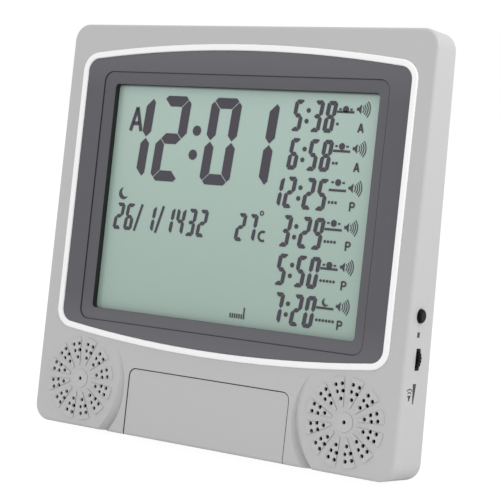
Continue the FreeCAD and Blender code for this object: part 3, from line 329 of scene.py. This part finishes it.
# Painted shade: a thin dark line along the step round the screen.
from_step = add(bezel_plastic.node_tree, "ShaderNodeMath", {0: rounded_box_in(
    bezel_plastic, STEP_MIDDLE, STEP_HALF_WIDTH, STEP_HALF_HEIGHT, STEP_CORNER)},
    operation="ABSOLUTE")
overlay(bezel_plastic, ramp_in(bezel_plastic, from_step.outputs[0], STEP_LINE, STEP_LINE / 2),
        STEP_SHADE_GREY)
# Painted shade: the inner wall deeper than WALL_START is painted near black.
wall_shade_mask = ramp_in(bezel_plastic, place_in(bezel_plastic, "Depth"),
                    WALL_START, WALL_START + WALL_BLEND)
overlay(bezel_plastic, wall_shade_mask, WALL_SHADE_BLACK)
dress(bezel_plastic, "screen_bezel")


# Display glass. A liquid crystal panel whose grey green reflector shows through clear
# glass, with painted light making it lighter towards the top and a painted shadow under
# the surround's upper edge.
SCREEN_BOTTOM = 59.8
SCREEN_TOP = 172.5
GLASS_FRONT = 5.6
EDGE_SHADOW = 1.1
LOWER_GREEN = (160, 183, 172)
LIT_UPPER_GREEN = (176, 200, 191)
EDGE_GREY = (70, 76, 74)
display = surface("display_reflector", LOWER_GREEN, 0.3, spread=0.01, relief=0.0,
                  cloud_scale=9.0, coat_weight=0.5, coat_roughness=0.04)
# Painted light: the reflector is painted lighter towards the top.
painted_light_mask = ramp_in(display, place_in(display, "Up"), SCREEN_BOTTOM, SCREEN_TOP)
overlay(display, painted_light_mask, LIT_UPPER_GREEN)
edge_mask = ramp_in(display, place_in(display, "Up"), SCREEN_TOP - EDGE_SHADOW, SCREEN_TOP)
overlay(display, edge_mask, EDGE_GREY)
dress(display, "lcd_panel")


# Main time. Four large seven-segment figures and two dots of dark liquid crystal, drawn as
# closed plates a hair in front of the glass. Outlines are (across, up) points, and one
# upright bar and one end bar are mirrored to give the others but the middle one.
INK_GAP = 0.02
INK_THICK = 0.05
INK_GREY = (66, 61, 72)
LIT_SEGMENTS = {"0": "abcdef", "1": "bc", "2": "abdeg", "3": "abcdg", "4": "bcfg", "5": "acdfg",
                "6": "acdefg", "7": "abc", "8": "abcdefg", "9": "abcdfg"}
FIGURE_SLANT = 0.12
SEGMENT_GAP = 0.07
SEGMENT_CLIP = 0.6
TIME_BOTTOM = 125.6
TIME_HEIGHT = 42.2
TIME_WIDTH = 17.8
TIME_STROKE = 5.2
TIME_SLANT = 0.075
TIME_CELLS = (("1", -73.6), ("2", -51.6), ("0", -21.5), ("1", 0.3))
TIME_DOTS = ((-25.8, 151.3), (-26.8, 139.5))
TIME_DOT_RADIUS = 2.5
ink = surface("segment_ink", INK_GREY, 0.4, spread=0.05, relief=0.0, cloud_scale=60.0)


def on_face(across, depth, up):
    along = depth * math.cos(LEAN) + up * math.sin(LEAN) + depth_shift
    height = up * math.cos(LEAN) - depth * math.sin(LEAN) + up_shift
    return Vector((across + across_shift, along, height)) * MM


def on_display(across, up, layer):
    return on_face(across, GLASS_FRONT - INK_GAP - INK_THICK * layer, up)


def settle(shape, name, material):
    """Turns a finished shape into a piece that rides on the case."""
    bmesh.ops.recalc_face_normals(shape, faces=shape.faces)
    mesh = bpy.data.meshes.new(name)
    shape.to_mesh(mesh)
    shape.free()
    mesh.materials.append(material)
    piece = bpy.data.objects.new(name, mesh)
    bpy.context.collection.objects.link(piece)
    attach(piece, "clock")
    return piece


def plates(name, outlines, place, material):
    """One piece of closed plates; place turns an outline's point into a place on a surface."""
    shape = bmesh.new()
    for outline in outlines:
        low = [shape.verts.new(place(across, up, 0)) for across, up in outline]
        high = [shape.verts.new(place(across, up, 1)) for across, up in outline]
        shape.faces.new(high)
        shape.faces.new(low[::-1])
        for index, corner in enumerate(low):
            after = (index + 1) % len(low)
            shape.faces.new((corner, low[after], high[after], high[index]))
    return settle(shape, name, material)


def arc(centre, radius, first, last, count=12):
    turns = [math.radians(first + (last - first) * step / count) for step in range(count + 1)]
    return [(centre[0] + radius * math.cos(turn), centre[1] + radius * math.sin(turn))
            for turn in turns]


def disc(centre, radius):
    return arc(centre, radius, 0, 340, 17)


def figure(value, left, bottom, width, height, stroke, slant=FIGURE_SLANT):
    gap = stroke * SEGMENT_GAP
    clip = stroke * SEGMENT_CLIP
    middle = height / 2
    upper = [(stroke / 2, middle + gap), (0, middle + stroke / 2 + gap), (0, height - clip - gap),
             (clip / 2, height - clip / 2 - gap), (stroke, height - stroke - gap),
             (stroke, middle + stroke / 2 + gap)]
    end = [(clip / 2 + gap, height - clip / 2), (clip + gap, height), (width - clip - gap, height),
           (width - clip / 2 - gap, height - clip / 2), (width - stroke - gap, height - stroke),
           (stroke + gap, height - stroke)]
    centre = [(stroke / 2 + gap, middle), (stroke + gap, middle + stroke / 2),
              (width - stroke - gap, middle + stroke / 2), (width - stroke / 2 - gap, middle),
              (width - stroke - gap, middle - stroke / 2), (stroke + gap, middle - stroke / 2)]
    shapes = {
        "f": upper,
        "b": [(width - across, up) for across, up in upper],
        "e": [(across, height - up) for across, up in upper],
        "c": [(width - across, height - up) for across, up in upper],
        "a": end,
        "d": [(across, height - up) for across, up in end],
        "g": centre}
    return [[(left + across + slant * up, bottom + up) for across, up in shapes[segment]]
            for segment in LIT_SEGMENTS[value]]


main_time = [disc(place, TIME_DOT_RADIUS) for place in TIME_DOTS]
for value, left in TIME_CELLS:
    main_time += figure(value, left, TIME_BOTTOM, TIME_WIDTH, TIME_HEIGHT, TIME_STROKE, TIME_SLANT)
plates("main_time", main_time, on_display, ink)


# Date and temperature. A row of small seven-segment figures under the time, drawn in the
# same way; the half of the day is a letter beside the time, with a moon below it.
DATE_BOTTOM = 99.9
DATE_HEIGHT = 13.4
DATE_WIDTH = 5.3
DATE_STROKE = 1.85
DATE_LEFT = -71.8
TEMPERATURE_LEFT = 2.6
HALF_DAY_PLACE = (-67.0, 149.6)
HALF_DAY_WIDTH = 6.6
HALF_DAY_HEIGHT = 11.8
HALF_DAY_STROKE = 1.9
MOON_PLACE = (-66.9, 118.0)
MOON_RADIUS = 3.0
MOON_TILT = 35
MOON_HOLLOW = 0.867
MOON_ASIDE = 0.55
DEGREE_PLACE = (17.3, 114.0)
CELSIUS_PLACE = (19.0, 103.2)
COLON_SHARES = (0.33, 0.67)
COLON_ADVANCE = 1.7
STROKE_START = 0.4
STROKE_WIDTH = 0.8
STROKE_ADVANCE = 0.92
BLANK_ADVANCE = 0.33
FIGURE_SPACE = 0.75


def bar(start, end, width):
    start, end = Vector(start), Vector(end)
    side = (end - start).normalized().orthogonal() * width / 2
    return [start + side, end + side, end - side, start - side]


def curved_bar(centre, radius, width, first, last):
    outer = arc(centre, radius + width / 2, first, last)
    inner = arc(centre, radius - width / 2, last, first)
    return outer + inner


def ring(centre, radius, width):
    return [curved_bar(centre, radius, width, 0, 180), curved_bar(centre, radius, width, 180, 360)]


def crescent(centre, radius, tilt):
    """Moon whose horns point along the tilt; the hollow is a smaller circle beside its centre."""
    turn = math.radians(tilt)
    aside = MOON_ASIDE * radius
    hollow = (centre[0] + aside * math.cos(turn), centre[1] + aside * math.sin(turn))
    return (arc(centre, radius, tilt + 60, tilt + 300, 16)
            + arc(hollow, MOON_HOLLOW * radius, tilt + 267, tilt + 93, 12)[1:-1])


def number(text, left, bottom, width, height, stroke):
    """Figures, colons, strokes and blanks in a row."""
    outlines = []
    for mark in text:
        if mark == ":":
            for share in COLON_SHARES:
                up = height * share
                outlines.append(disc((left + stroke * 0.5 + FIGURE_SLANT * up, bottom + up),
                                     stroke * 0.55))
            left += stroke * COLON_ADVANCE
        elif mark == "/":
            outlines.append(bar((left + STROKE_START, bottom),
                                (left + width * STROKE_WIDTH, bottom + height), stroke * 0.75))
            left += width * STROKE_ADVANCE
        elif mark == " ":
            left += width * BLANK_ADVANCE
        else:
            outlines += figure(mark, left, bottom, width, height, stroke)
            left += width + stroke * FIGURE_SPACE
    return outlines


def letter_a(left, bottom, width, height, stroke):
    peak = (left + width / 2, bottom + height)
    return [bar((left, bottom), peak, stroke), bar((left + width, bottom), peak, stroke),
            bar((left + width * 0.2, bottom + height * 0.32),
                (left + width * 0.8, bottom + height * 0.32), stroke)]


small_figures = letter_a(*HALF_DAY_PLACE, HALF_DAY_WIDTH, HALF_DAY_HEIGHT, HALF_DAY_STROKE)
small_figures += number("26/ 1/1432", DATE_LEFT, DATE_BOTTOM, DATE_WIDTH, DATE_HEIGHT,
                        DATE_STROKE)
small_figures += number("27", TEMPERATURE_LEFT, DATE_BOTTOM, DATE_WIDTH - 0.2, DATE_HEIGHT,
                        DATE_STROKE)
small_figures += ring(DEGREE_PLACE, 0.9, 0.6)
small_figures += [curved_bar(CELSIUS_PLACE, 2.2, 1.2, 60, 300)]
small_figures.append(crescent(MOON_PLACE, MOON_RADIUS, MOON_TILT))
plates("date_and_temperature", small_figures, on_display, ink)


# Daily times. Six rows of small figures down the right of the glass, each with a sun or a
# moon over its horizon, dots that count the row and the letter for the half of the day.
# Seven bars at the lower edge count the days, and the last one is tall.
ROW_TOP = 168.5
ROW_STEP = 18.08
ROW_HEIGHT = 14.9
ROW_WIDTH = 5.6
ROW_STROKE = 2.05
ROW_LEFT = 27.9
TENS_SPACE = 1.3
ROW_TIMES = ("5:38", "6:58", "12:25", "3:29", "5:50", "7:20")
SUN_HEIGHTS = (0.3, 1.3, 2.7, 2.0, 0.8)
MARK_LEFT = 52.8
HORIZON_DROP = 4.9
HORIZON_LENGTH = 9.2
HORIZON_WIDTH = 1.1
SUN_RADIUS = 1.6
SUN_LIFT = 0.9
RAY_START = 2.3
RAY_END = 3.6
RAY_WIDTH = 0.9
LOW_MOON_LIFT = 2.7
LOW_MOON_RADIUS = 1.9
DOT_DROP = 10.6
DOT_ASIDE = 0.8
DOT_STEP = 1.75
DOT_RADIUS = 0.7
LETTER_LEFT = 65.0
LETTER_DROP = 14.0
LETTER_WIDTH = 2.6
LETTER_HEIGHT = 4.1
LETTER_STROKE = 0.85
MORNING_ROWS = 2
DAYS = 7
DAY_LEFT = 5.4
DAY_BOTTOM = 63.4
DAY_STEP = 1.3
DAY_WIDTH = 0.75
DAY_HEIGHT = 2.2
TODAY_HEIGHT = 5.4


def letter_p(left, bottom, width, height, stroke):
    bowl = (left + width * 0.45, bottom + height * 0.72)
    return [bar((left, bottom), (left, bottom + height), stroke),
            curved_bar(bowl, height * 0.24, stroke, -90, 90),
            bar((left, bottom + height * 0.96), (bowl[0], bottom + height * 0.96), stroke),
            bar((left, bottom + height * 0.48), (bowl[0], bottom + height * 0.48), stroke)]


row_figures = []
row_marks = []
for row, time in enumerate(ROW_TIMES):
    top = ROW_TOP - row * ROW_STEP
    bottom = top - ROW_HEIGHT
    hour, minutes = time.split(":")
    if len(hour) == 2:
        row_figures += figure("1", ROW_LEFT - ROW_WIDTH - TENS_SPACE, bottom, ROW_WIDTH,
                              ROW_HEIGHT, ROW_STROKE)
    row_figures += number(hour[-1] + ":" + minutes, ROW_LEFT, bottom, ROW_WIDTH, ROW_HEIGHT,
                          ROW_STROKE)
    horizon = top - HORIZON_DROP
    middle = MARK_LEFT + HORIZON_LENGTH / 2
    row_marks.append(bar((MARK_LEFT, horizon), (MARK_LEFT + HORIZON_LENGTH, horizon), HORIZON_WIDTH))
    if row < len(SUN_HEIGHTS):
        sun_up = horizon + SUN_LIFT + SUN_HEIGHTS[row]
        row_marks.append(disc((middle, sun_up), SUN_RADIUS))
        for side in (-1, 1):
            row_marks.append(bar((middle + side * RAY_START, sun_up),
                                 (middle + side * RAY_END, sun_up), RAY_WIDTH))
    else:
        row_marks.append(crescent((middle, horizon + LOW_MOON_LIFT), LOW_MOON_RADIUS, MOON_TILT))
    for dot in range(row + 1):
        row_marks.append(disc((MARK_LEFT + DOT_ASIDE + dot * DOT_STEP, top - DOT_DROP), DOT_RADIUS))
    letter = letter_a if row < MORNING_ROWS else letter_p
    row_marks += letter(LETTER_LEFT, top - LETTER_DROP, LETTER_WIDTH, LETTER_HEIGHT,
                        LETTER_STROKE)
for day in range(DAYS):
    day_across = DAY_LEFT + day * DAY_STEP
    day_top = DAY_BOTTOM + (TODAY_HEIGHT if day == DAYS - 1 else DAY_HEIGHT)
    row_marks.append(bar((day_across, DAY_BOTTOM), (day_across, day_top), DAY_WIDTH))
plates("daily_times", row_figures, on_display, ink)
plates("daily_marks", row_marks, on_display, ink)


# Sound marks. One small loudspeaker with four arcs is drawn beside the first row, and
# Geometry Nodes repeats it down the rows at their spacing.
ARC_WIDTH = 0.45
ARC_HALF_TURN = 42
ARC_RADII = (2.1, 3.2, 4.3, 5.4)
mark_centre = (64.8, ROW_TOP - 3.4)
sound_mark = [[(63.2, ROW_TOP - 4.1), (64.2, ROW_TOP - 4.1), (65.6, ROW_TOP - 5.6),
               (65.6, ROW_TOP - 1.2), (64.2, ROW_TOP - 2.7), (63.2, ROW_TOP - 2.7)]]
sound_mark += [curved_bar(mark_centre, radius, ARC_WIDTH, -ARC_HALF_TURN, ARC_HALF_TURN)
               for radius in ARC_RADII]
sound_marks = plates("sound_marks", sound_mark, on_display, ink)

repeat = bpy.data.node_groups.new("repeat_down_rows", "GeometryNodeTree")
repeat.interface.new_socket("Geometry", in_out="INPUT", socket_type="NodeSocketGeometry")
rows_socket = repeat.interface.new_socket("Rows", in_out="INPUT", socket_type="NodeSocketInt")
step_socket = repeat.interface.new_socket("Step", in_out="INPUT", socket_type="NodeSocketVector")
repeat.interface.new_socket("Geometry", in_out="OUTPUT", socket_type="NodeSocketGeometry")
repeat_in = repeat.nodes.new("NodeGroupInput")
row_points = add(repeat, "GeometryNodeMeshLine", {
    "Count": repeat_in.outputs["Rows"], "Offset": repeat_in.outputs["Step"]})
placed = add(repeat, "GeometryNodeInstanceOnPoints", {
    "Points": row_points.outputs["Mesh"], "Instance": repeat_in.outputs["Geometry"]})
real = add(repeat, "GeometryNodeRealizeInstances", {0: placed.outputs["Instances"]})
coloured = add(repeat, "GeometryNodeSetMaterial", {
    "Geometry": real.outputs[0], "Material": ink})
repeat_out = repeat.nodes.new("NodeGroupOutput")
repeat.links.new(coloured.outputs[0], repeat_out.inputs[0])

copies = sound_marks.modifiers.new("rows", "NODES")
copies.node_group = repeat
copies[rows_socket.identifier] = len(ROW_TIMES)
copies[step_socket.identifier] = on_face(0, 0, 0) - on_face(0, 0, ROW_STEP)
evaluated = sound_marks.evaluated_get(bpy.context.evaluated_depsgraph_get())
sound_marks.data = bpy.data.meshes.new_from_object(evaluated)
sound_marks.modifiers.clear()


# Stop button. Polished black plastic in a hole of the right wall, where a flange inside
# holds it. A small square is printed under it in dark grey ink.
HALF_WIDTH = 105.0
PRINT_GREY = (52, 52, 55)
PRINT_THICK = 0.03
STOP_MARK_DEPTH = 9.4
STOP_MARK_BOTTOM = 65.2
STOP_MARK_TOP = 67.6
STOP_MARK_WIDTH = 2.2
button_black = surface("button_black", (7, 7, 8), 0.16, spread=0.1, relief=0.02,
                       specular_ior_level=0.12)
dress(button_black, "stop_button")
print_ink = surface("print_ink", PRINT_GREY, 0.5, spread=0.06, relief=0.0, cloud_scale=200.0)


def on_side(depth, up, layer):
    return on_face(HALF_WIDTH + INK_GAP + PRINT_THICK * layer, depth, up)


stop_mark = [bar((STOP_MARK_DEPTH, STOP_MARK_BOTTOM), (STOP_MARK_DEPTH, STOP_MARK_TOP),
                 STOP_MARK_WIDTH)]
plates("stop_mark", stop_mark, on_side, print_ink)


# Volume wheel. A notched rim of duller black plastic in a slot of the right wall, with a
# small loudspeaker and a growing wedge printed under it.
wheel_black = surface("wheel_black", (6, 6, 7), 0.6, spread=0.1, relief=0.02,
                      specular_ior_level=0.15)
dress(wheel_black, "volume_wheel")
volume_mark = [[(10.2, 35.5), (11.0, 35.5), (12.0, 44.6), (9.1, 44.6)]]
volume_mark.append([(6.1, 37.0), (6.1, 38.0), (5.0, 39.4), (8.4, 39.4), (7.3, 38.0), (7.3, 37.0)])
volume_mark += [curved_bar((6.7, 38.6), radius, 0.5, 48, 132) for radius in (2.2, 3.6)]
plates("volume_mark", volume_mark, on_side, print_ink)


# Keys behind the front door. Six soft grey rubber caps in holes of a tray that is moulded
# with the front housing. A flange behind the tray holds each one in.
KEY_NAMES = ("mode_key", "set_key", "hour_key", "minute_key", "alarm_key", "light_key")
key_rubber = surface("key_rubber", (92, 94, 99), 0.62, spread=0.05, relief=0.3)
dress(key_rubber, *KEY_NAMES)


# Key mat. A thin silicone sheet between the keys and their board, with a dome behind each
# key.
KEY_PITCH = 13.0
KEY_UP = 18.0
MAT_FRONT = 15.0
MAT_THICK = 0.8
MAT_ENDS = ((39.0, 24.0), (-39.0, 24.0), (-39.0, 12.0), (39.0, 12.0))
DOME_PROFILE = ((3.0, 15.2), (2.7, 14.7), (2.3, 14.25), (1.8, 14.0))
mat_silicone = surface("mat_silicone", (168, 170, 172), 0.55, spread=0.04, relief=0.2)


def on_mat(across, up, layer):
    return on_face(across, MAT_FRONT + MAT_THICK * (1 - layer), up)


def dome(name, centre):
    shape = bmesh.new()
    rings = [[shape.verts.new(on_face(across, depth, up)) for across, up in disc(centre, radius)]
             for radius, depth in DOME_PROFILE]
    shape.faces.new(rings[0])
    shape.faces.new(rings[-1][::-1])
    for wide, narrow in zip(rings, rings[1:]):
        for index, corner in enumerate(wide):
            after = (index + 1) % len(wide)
            shape.faces.new((corner, wide[after], narrow[after], narrow[index]))
    return settle(shape, name, mat_silicone)


mat_outline = []
for turn, corner in enumerate(MAT_ENDS):
    mat_outline += arc(corner, 1.0, turn * 90, turn * 90 + 90, 4)
mat_sheet = plates("key_mat_sheet", [mat_outline], on_mat, mat_silicone)
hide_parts("key_mat")
for index, key in enumerate(KEY_NAMES):
    key_across = (index - 2.5) * KEY_PITCH
    key_dome = dome(key + "_dome", (key_across, KEY_UP))
    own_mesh(key_dome)


# Circuit boards. Green lacquer over copper, whose paths show paler and are drawn as the
# borders of irregular cells. Screws hold the main board and the key board.
BOARD_GREEN = (34, 92, 58)
PATH_GREEN = (66, 128, 84)
PATH_WIDTH = 0.045


def board_material(name, cell_scale):
    made = surface(name, BOARD_GREEN, 0.35, spread=0.12, relief=0.05, coat_weight=0.2)
    paths = add(made.node_tree, "ShaderNodeTexVoronoi", {
        "Vector": add(made.node_tree, "ShaderNodeTexCoord").outputs["Object"],
        "Scale": cell_scale, "Randomness": 0.85}, feature="DISTANCE_TO_EDGE")
    lines = add(made.node_tree, "ShaderNodeMath", {
        0: paths.outputs["Distance"], 1: PATH_WIDTH}, operation="LESS_THAN")
    overlay(made, lines.outputs[0], PATH_GREEN)
    return made


dress(board_material("main_board_lacquer", 190.0), "main_circuit_board")
dress(board_material("small_board_lacquer", 320.0), "key_circuit_board", "side_circuit_board")


# Contact strip and key ribbon. The strip between the display and the main board has
# layers of carbon and silicone rubber in turn, and the ribbon has wires side by side.
LAYER_PITCH = 0.8
LAYER_SHARE = 0.5
WIRE_PITCH = 1.27
GAP_SHARE = 0.18
band_mask, band_in, band_out = new_group(
    "band_mask", {"Place": 0.0, "Pitch": 1.0, "Share": 0.5}, ("Mask",))
wrapped = add(band_mask, "ShaderNodeMath", {
    0: band_in["Place"], 1: band_in["Pitch"]}, operation="FLOORED_MODULO")
share = add(band_mask, "ShaderNodeMath", {
    0: wrapped.outputs[0], 1: band_in["Pitch"]}, operation="DIVIDE")
inside = add(band_mask, "ShaderNodeMath", {
    0: share.outputs[0], 1: band_in["Share"]}, operation="LESS_THAN")
band_mask.links.new(inside.outputs[0], band_out["Mask"])


def bands_in(made, place, pitch, filled):
    bands = add(made.node_tree, "ShaderNodeGroup", node_tree=band_mask)
    made.node_tree.links.new(place, bands.inputs["Place"])
    bands.inputs["Pitch"].default_value = pitch
    bands.inputs["Share"].default_value = filled
    return bands.outputs["Mask"]


strip_rubber = surface("strip_rubber", (38, 38, 40), 0.6, spread=0.05)
overlay(strip_rubber, bands_in(strip_rubber, place_in(strip_rubber, "Across"), LAYER_PITCH,
                               LAYER_SHARE), (196, 150, 150))
dress(strip_rubber, "contact_strip")
ribbon_grey = surface("ribbon_grey", (150, 152, 156), 0.5, spread=0.04)
overlay(ribbon_grey, bands_in(ribbon_grey, place_in(ribbon_grey, "Across"), WIRE_PITCH, GAP_SHARE),
        (96, 98, 102))
dress(ribbon_grey, "key_ribbon")


# Loudspeakers. A zinc basket in a collar behind each grille, a black paper cone with
# rings pressed about its own axis, and a dark ferrite magnet.
RING_SCALE = 120.0


def cone_material(side):
    made = surface(side + "_cone_paper", (34, 33, 34), 0.85, spread=0.2, relief=0.4,
                   cloud_scale=300.0)
    low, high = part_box(side + "_speaker_cone")
    middle = [(first + second) / 2 for first, second in zip(low, high)]
    centred = add(made.node_tree, "ShaderNodeVectorMath", {
        0: add(made.node_tree, "ShaderNodeTexCoord").outputs["Object"], 1: middle},
        operation="SUBTRACT")
    turned = add(made.node_tree, "ShaderNodeMapping", {"Vector": centred.outputs[0]})
    turned.inputs["Rotation"].default_value = (LEAN, 0, 0)
    rings = add(made.node_tree, "ShaderNodeTexWave", {
        "Vector": turned.outputs[0], "Scale": RING_SCALE, "Distortion": 0.0},
        wave_type="RINGS", rings_direction="Y")
    overlay(made, ramp_in(made, rings.outputs[0], 0.7, 1.0), (58, 56, 57))
    return made


basket_zinc = surface("basket_zinc", (150, 152, 156), 0.35, spread=0.08, metallic=0.9)
ferrite = surface("ferrite", (44, 44, 46), 0.6, spread=0.15, relief=0.3)
for side in ("left", "right"):
    dress(cone_material(side), side + "_speaker_cone")
    dress(basket_zinc, side + "_speaker_frame")
    dress(ferrite, side + "_speaker_magnet")


# Panel holder and components. The holder is white plastic; the chips, the stop switch and
# the volume control are black, and the crystal and capacitors have tinned cans.
holder_white = surface("holder_white", (226, 226, 222), 0.5, spread=0.03)
part_black = surface("part_black", (30, 30, 32), 0.5, spread=0.15, relief=0.2)
can_steel = surface("can_steel", (172, 174, 178), 0.3, spread=0.08, metallic=0.9)
dress(holder_white, "lcd_holder")
dress(part_black, "volume_potentiometer", "stop_switch", "controller_chip", "amplifier_chip")
dress(can_steel, "quartz_crystal", "capacitors")


# Batteries and metal parts. Three cells in plain dark jackets, lighter at one end, lie
# between plated contacts; the screws are plated too, and the leads are red.
JACKET_BLUE = (46, 60, 84)
JACKET_GOLD = (186, 168, 110)
JACKET_BAND = 13.0
JACKET_BLEND = 0.2
nickel = surface("nickel", (188, 186, 178), 0.25, spread=0.06, metallic=1.0)
lead_red = surface("lead_red", (164, 36, 32), 0.5, spread=0.08)
cell_jacket = surface("cell_jacket", JACKET_BLUE, 0.35, spread=0.06, metallic=0.3)
cell_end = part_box("battery_cells")[1][0] / MM - across_shift
band_start = cell_end - JACKET_BAND
overlay(cell_jacket, ramp_in(cell_jacket, place_in(cell_jacket, "Across"), band_start,
                             band_start + JACKET_BLEND), JACKET_GOLD)
dress(nickel, "battery_contacts", "case_screws", "holder_screws", "board_screws",
      "key_board_screws")
dress(lead_red, "speaker_leads", "battery_leads")
dress(cell_jacket, "battery_cells")


# Camera. It stands to the right of the clock, just above the height of its top, and looks
# down a little through a long lens. The place is in millimetres, the turns in degrees.
CAMERA_PLACE = (454.34, -650.49, 213.87)
CAMERA_TURN = 34.7809
CAMERA_DROP = 8.3098
LENS = 119.388
SENSOR = 36.0
camera_data = bpy.data.cameras.new("camera")
camera_data.lens = LENS
camera_data.sensor_width = SENSOR
camera = bpy.data.objects.new("camera", camera_data)
camera.location = Vector(CAMERA_PLACE) * MM
camera.rotation_euler = (math.radians(90 - CAMERA_DROP), 0, math.radians(CAMERA_TURN))
bpy.context.collection.objects.link(camera)
bpy.context.scene.camera = camera


# Studio. A wide white surround and one soft lamp from the right; the floor takes the
# clock's faint contact shadow and is otherwise white to the camera.
FLOOR_SIZE = 4.0
FLOOR_GLOW = 0.9
GLOW_STRENGTH = 1.08
SURROUND = 0.92
LAMP_PLACE = (0.4, 0.02, 0.4)
LAMP_POWER = 0.5
LAMP_SIZE = 0.15
LAMP_AIM = (0, 0, 0.1)
FLOOR_GREY = 0.86

world = bpy.data.worlds.new("studio")
bpy.context.scene.world = world
world.use_nodes = True
world.node_tree.nodes.clear()
lit = add(world.node_tree, "ShaderNodeBackground", {"Strength": SURROUND, "Color": (1, 1, 1, 1)})
seen = add(world.node_tree, "ShaderNodeBackground", {"Strength": 1.0, "Color": (1, 1, 1, 1)})
camera_ray = add(world.node_tree, "ShaderNodeLightPath").outputs["Is Camera Ray"]
chosen = add(world.node_tree, "ShaderNodeMixShader", {
    0: camera_ray, 1: lit.outputs[0], 2: seen.outputs[0]})
add(world.node_tree, "ShaderNodeOutputWorld", {"Surface": chosen.outputs[0]})

floor_material = bpy.data.materials.new("floor")
floor_material.use_nodes = True
floor_tree = floor_material.node_tree
floor_shader = floor_tree.nodes["Principled BSDF"]
floor_shader.inputs["Base Color"].default_value = (FLOOR_GREY, FLOOR_GREY, FLOOR_GREY, 1)
floor_shader.inputs["Roughness"].default_value = 0.9
glow = add(floor_tree, "ShaderNodeEmission", {
    "Color": (1, 1, 1, 1), "Strength": GLOW_STRENGTH})
glow_share = add(floor_tree, "ShaderNodeMath", {
    0: add(floor_tree, "ShaderNodeLightPath").outputs["Is Camera Ray"], 1: FLOOR_GLOW},
    operation="MULTIPLY")
floor_mix = add(floor_tree, "ShaderNodeMixShader", {
    0: glow_share.outputs[0], 1: floor_shader.outputs[0], 2: glow.outputs[0]})
floor_tree.links.new(floor_mix.outputs[0], floor_tree.nodes["Material Output"].inputs["Surface"])
floor_mesh = bpy.data.meshes.new("floor")
half_floor = FLOOR_SIZE / 2
floor_mesh.from_pydata([(-half_floor, -half_floor, 0), (half_floor, -half_floor, 0),
                        (half_floor, half_floor, 0), (-half_floor, half_floor, 0)],
                       [], [(0, 1, 2, 3)])
floor_mesh.materials.append(floor_material)
floor = bpy.data.objects.new("floor", floor_mesh)
bpy.context.collection.objects.link(floor)

lamp_data = bpy.data.lights.new("lamp", "AREA")
lamp_data.energy = LAMP_POWER
lamp_data.shape = "SQUARE"
lamp_data.size = LAMP_SIZE
lamp = bpy.data.objects.new("lamp", lamp_data)
lamp.location = LAMP_PLACE
lamp.rotation_euler = (Vector(LAMP_PLACE) - Vector(LAMP_AIM)).to_track_quat("Z", "Y").to_euler()
bpy.context.collection.objects.link(lamp)
bpy.context.scene.view_settings.view_transform = "Standard"
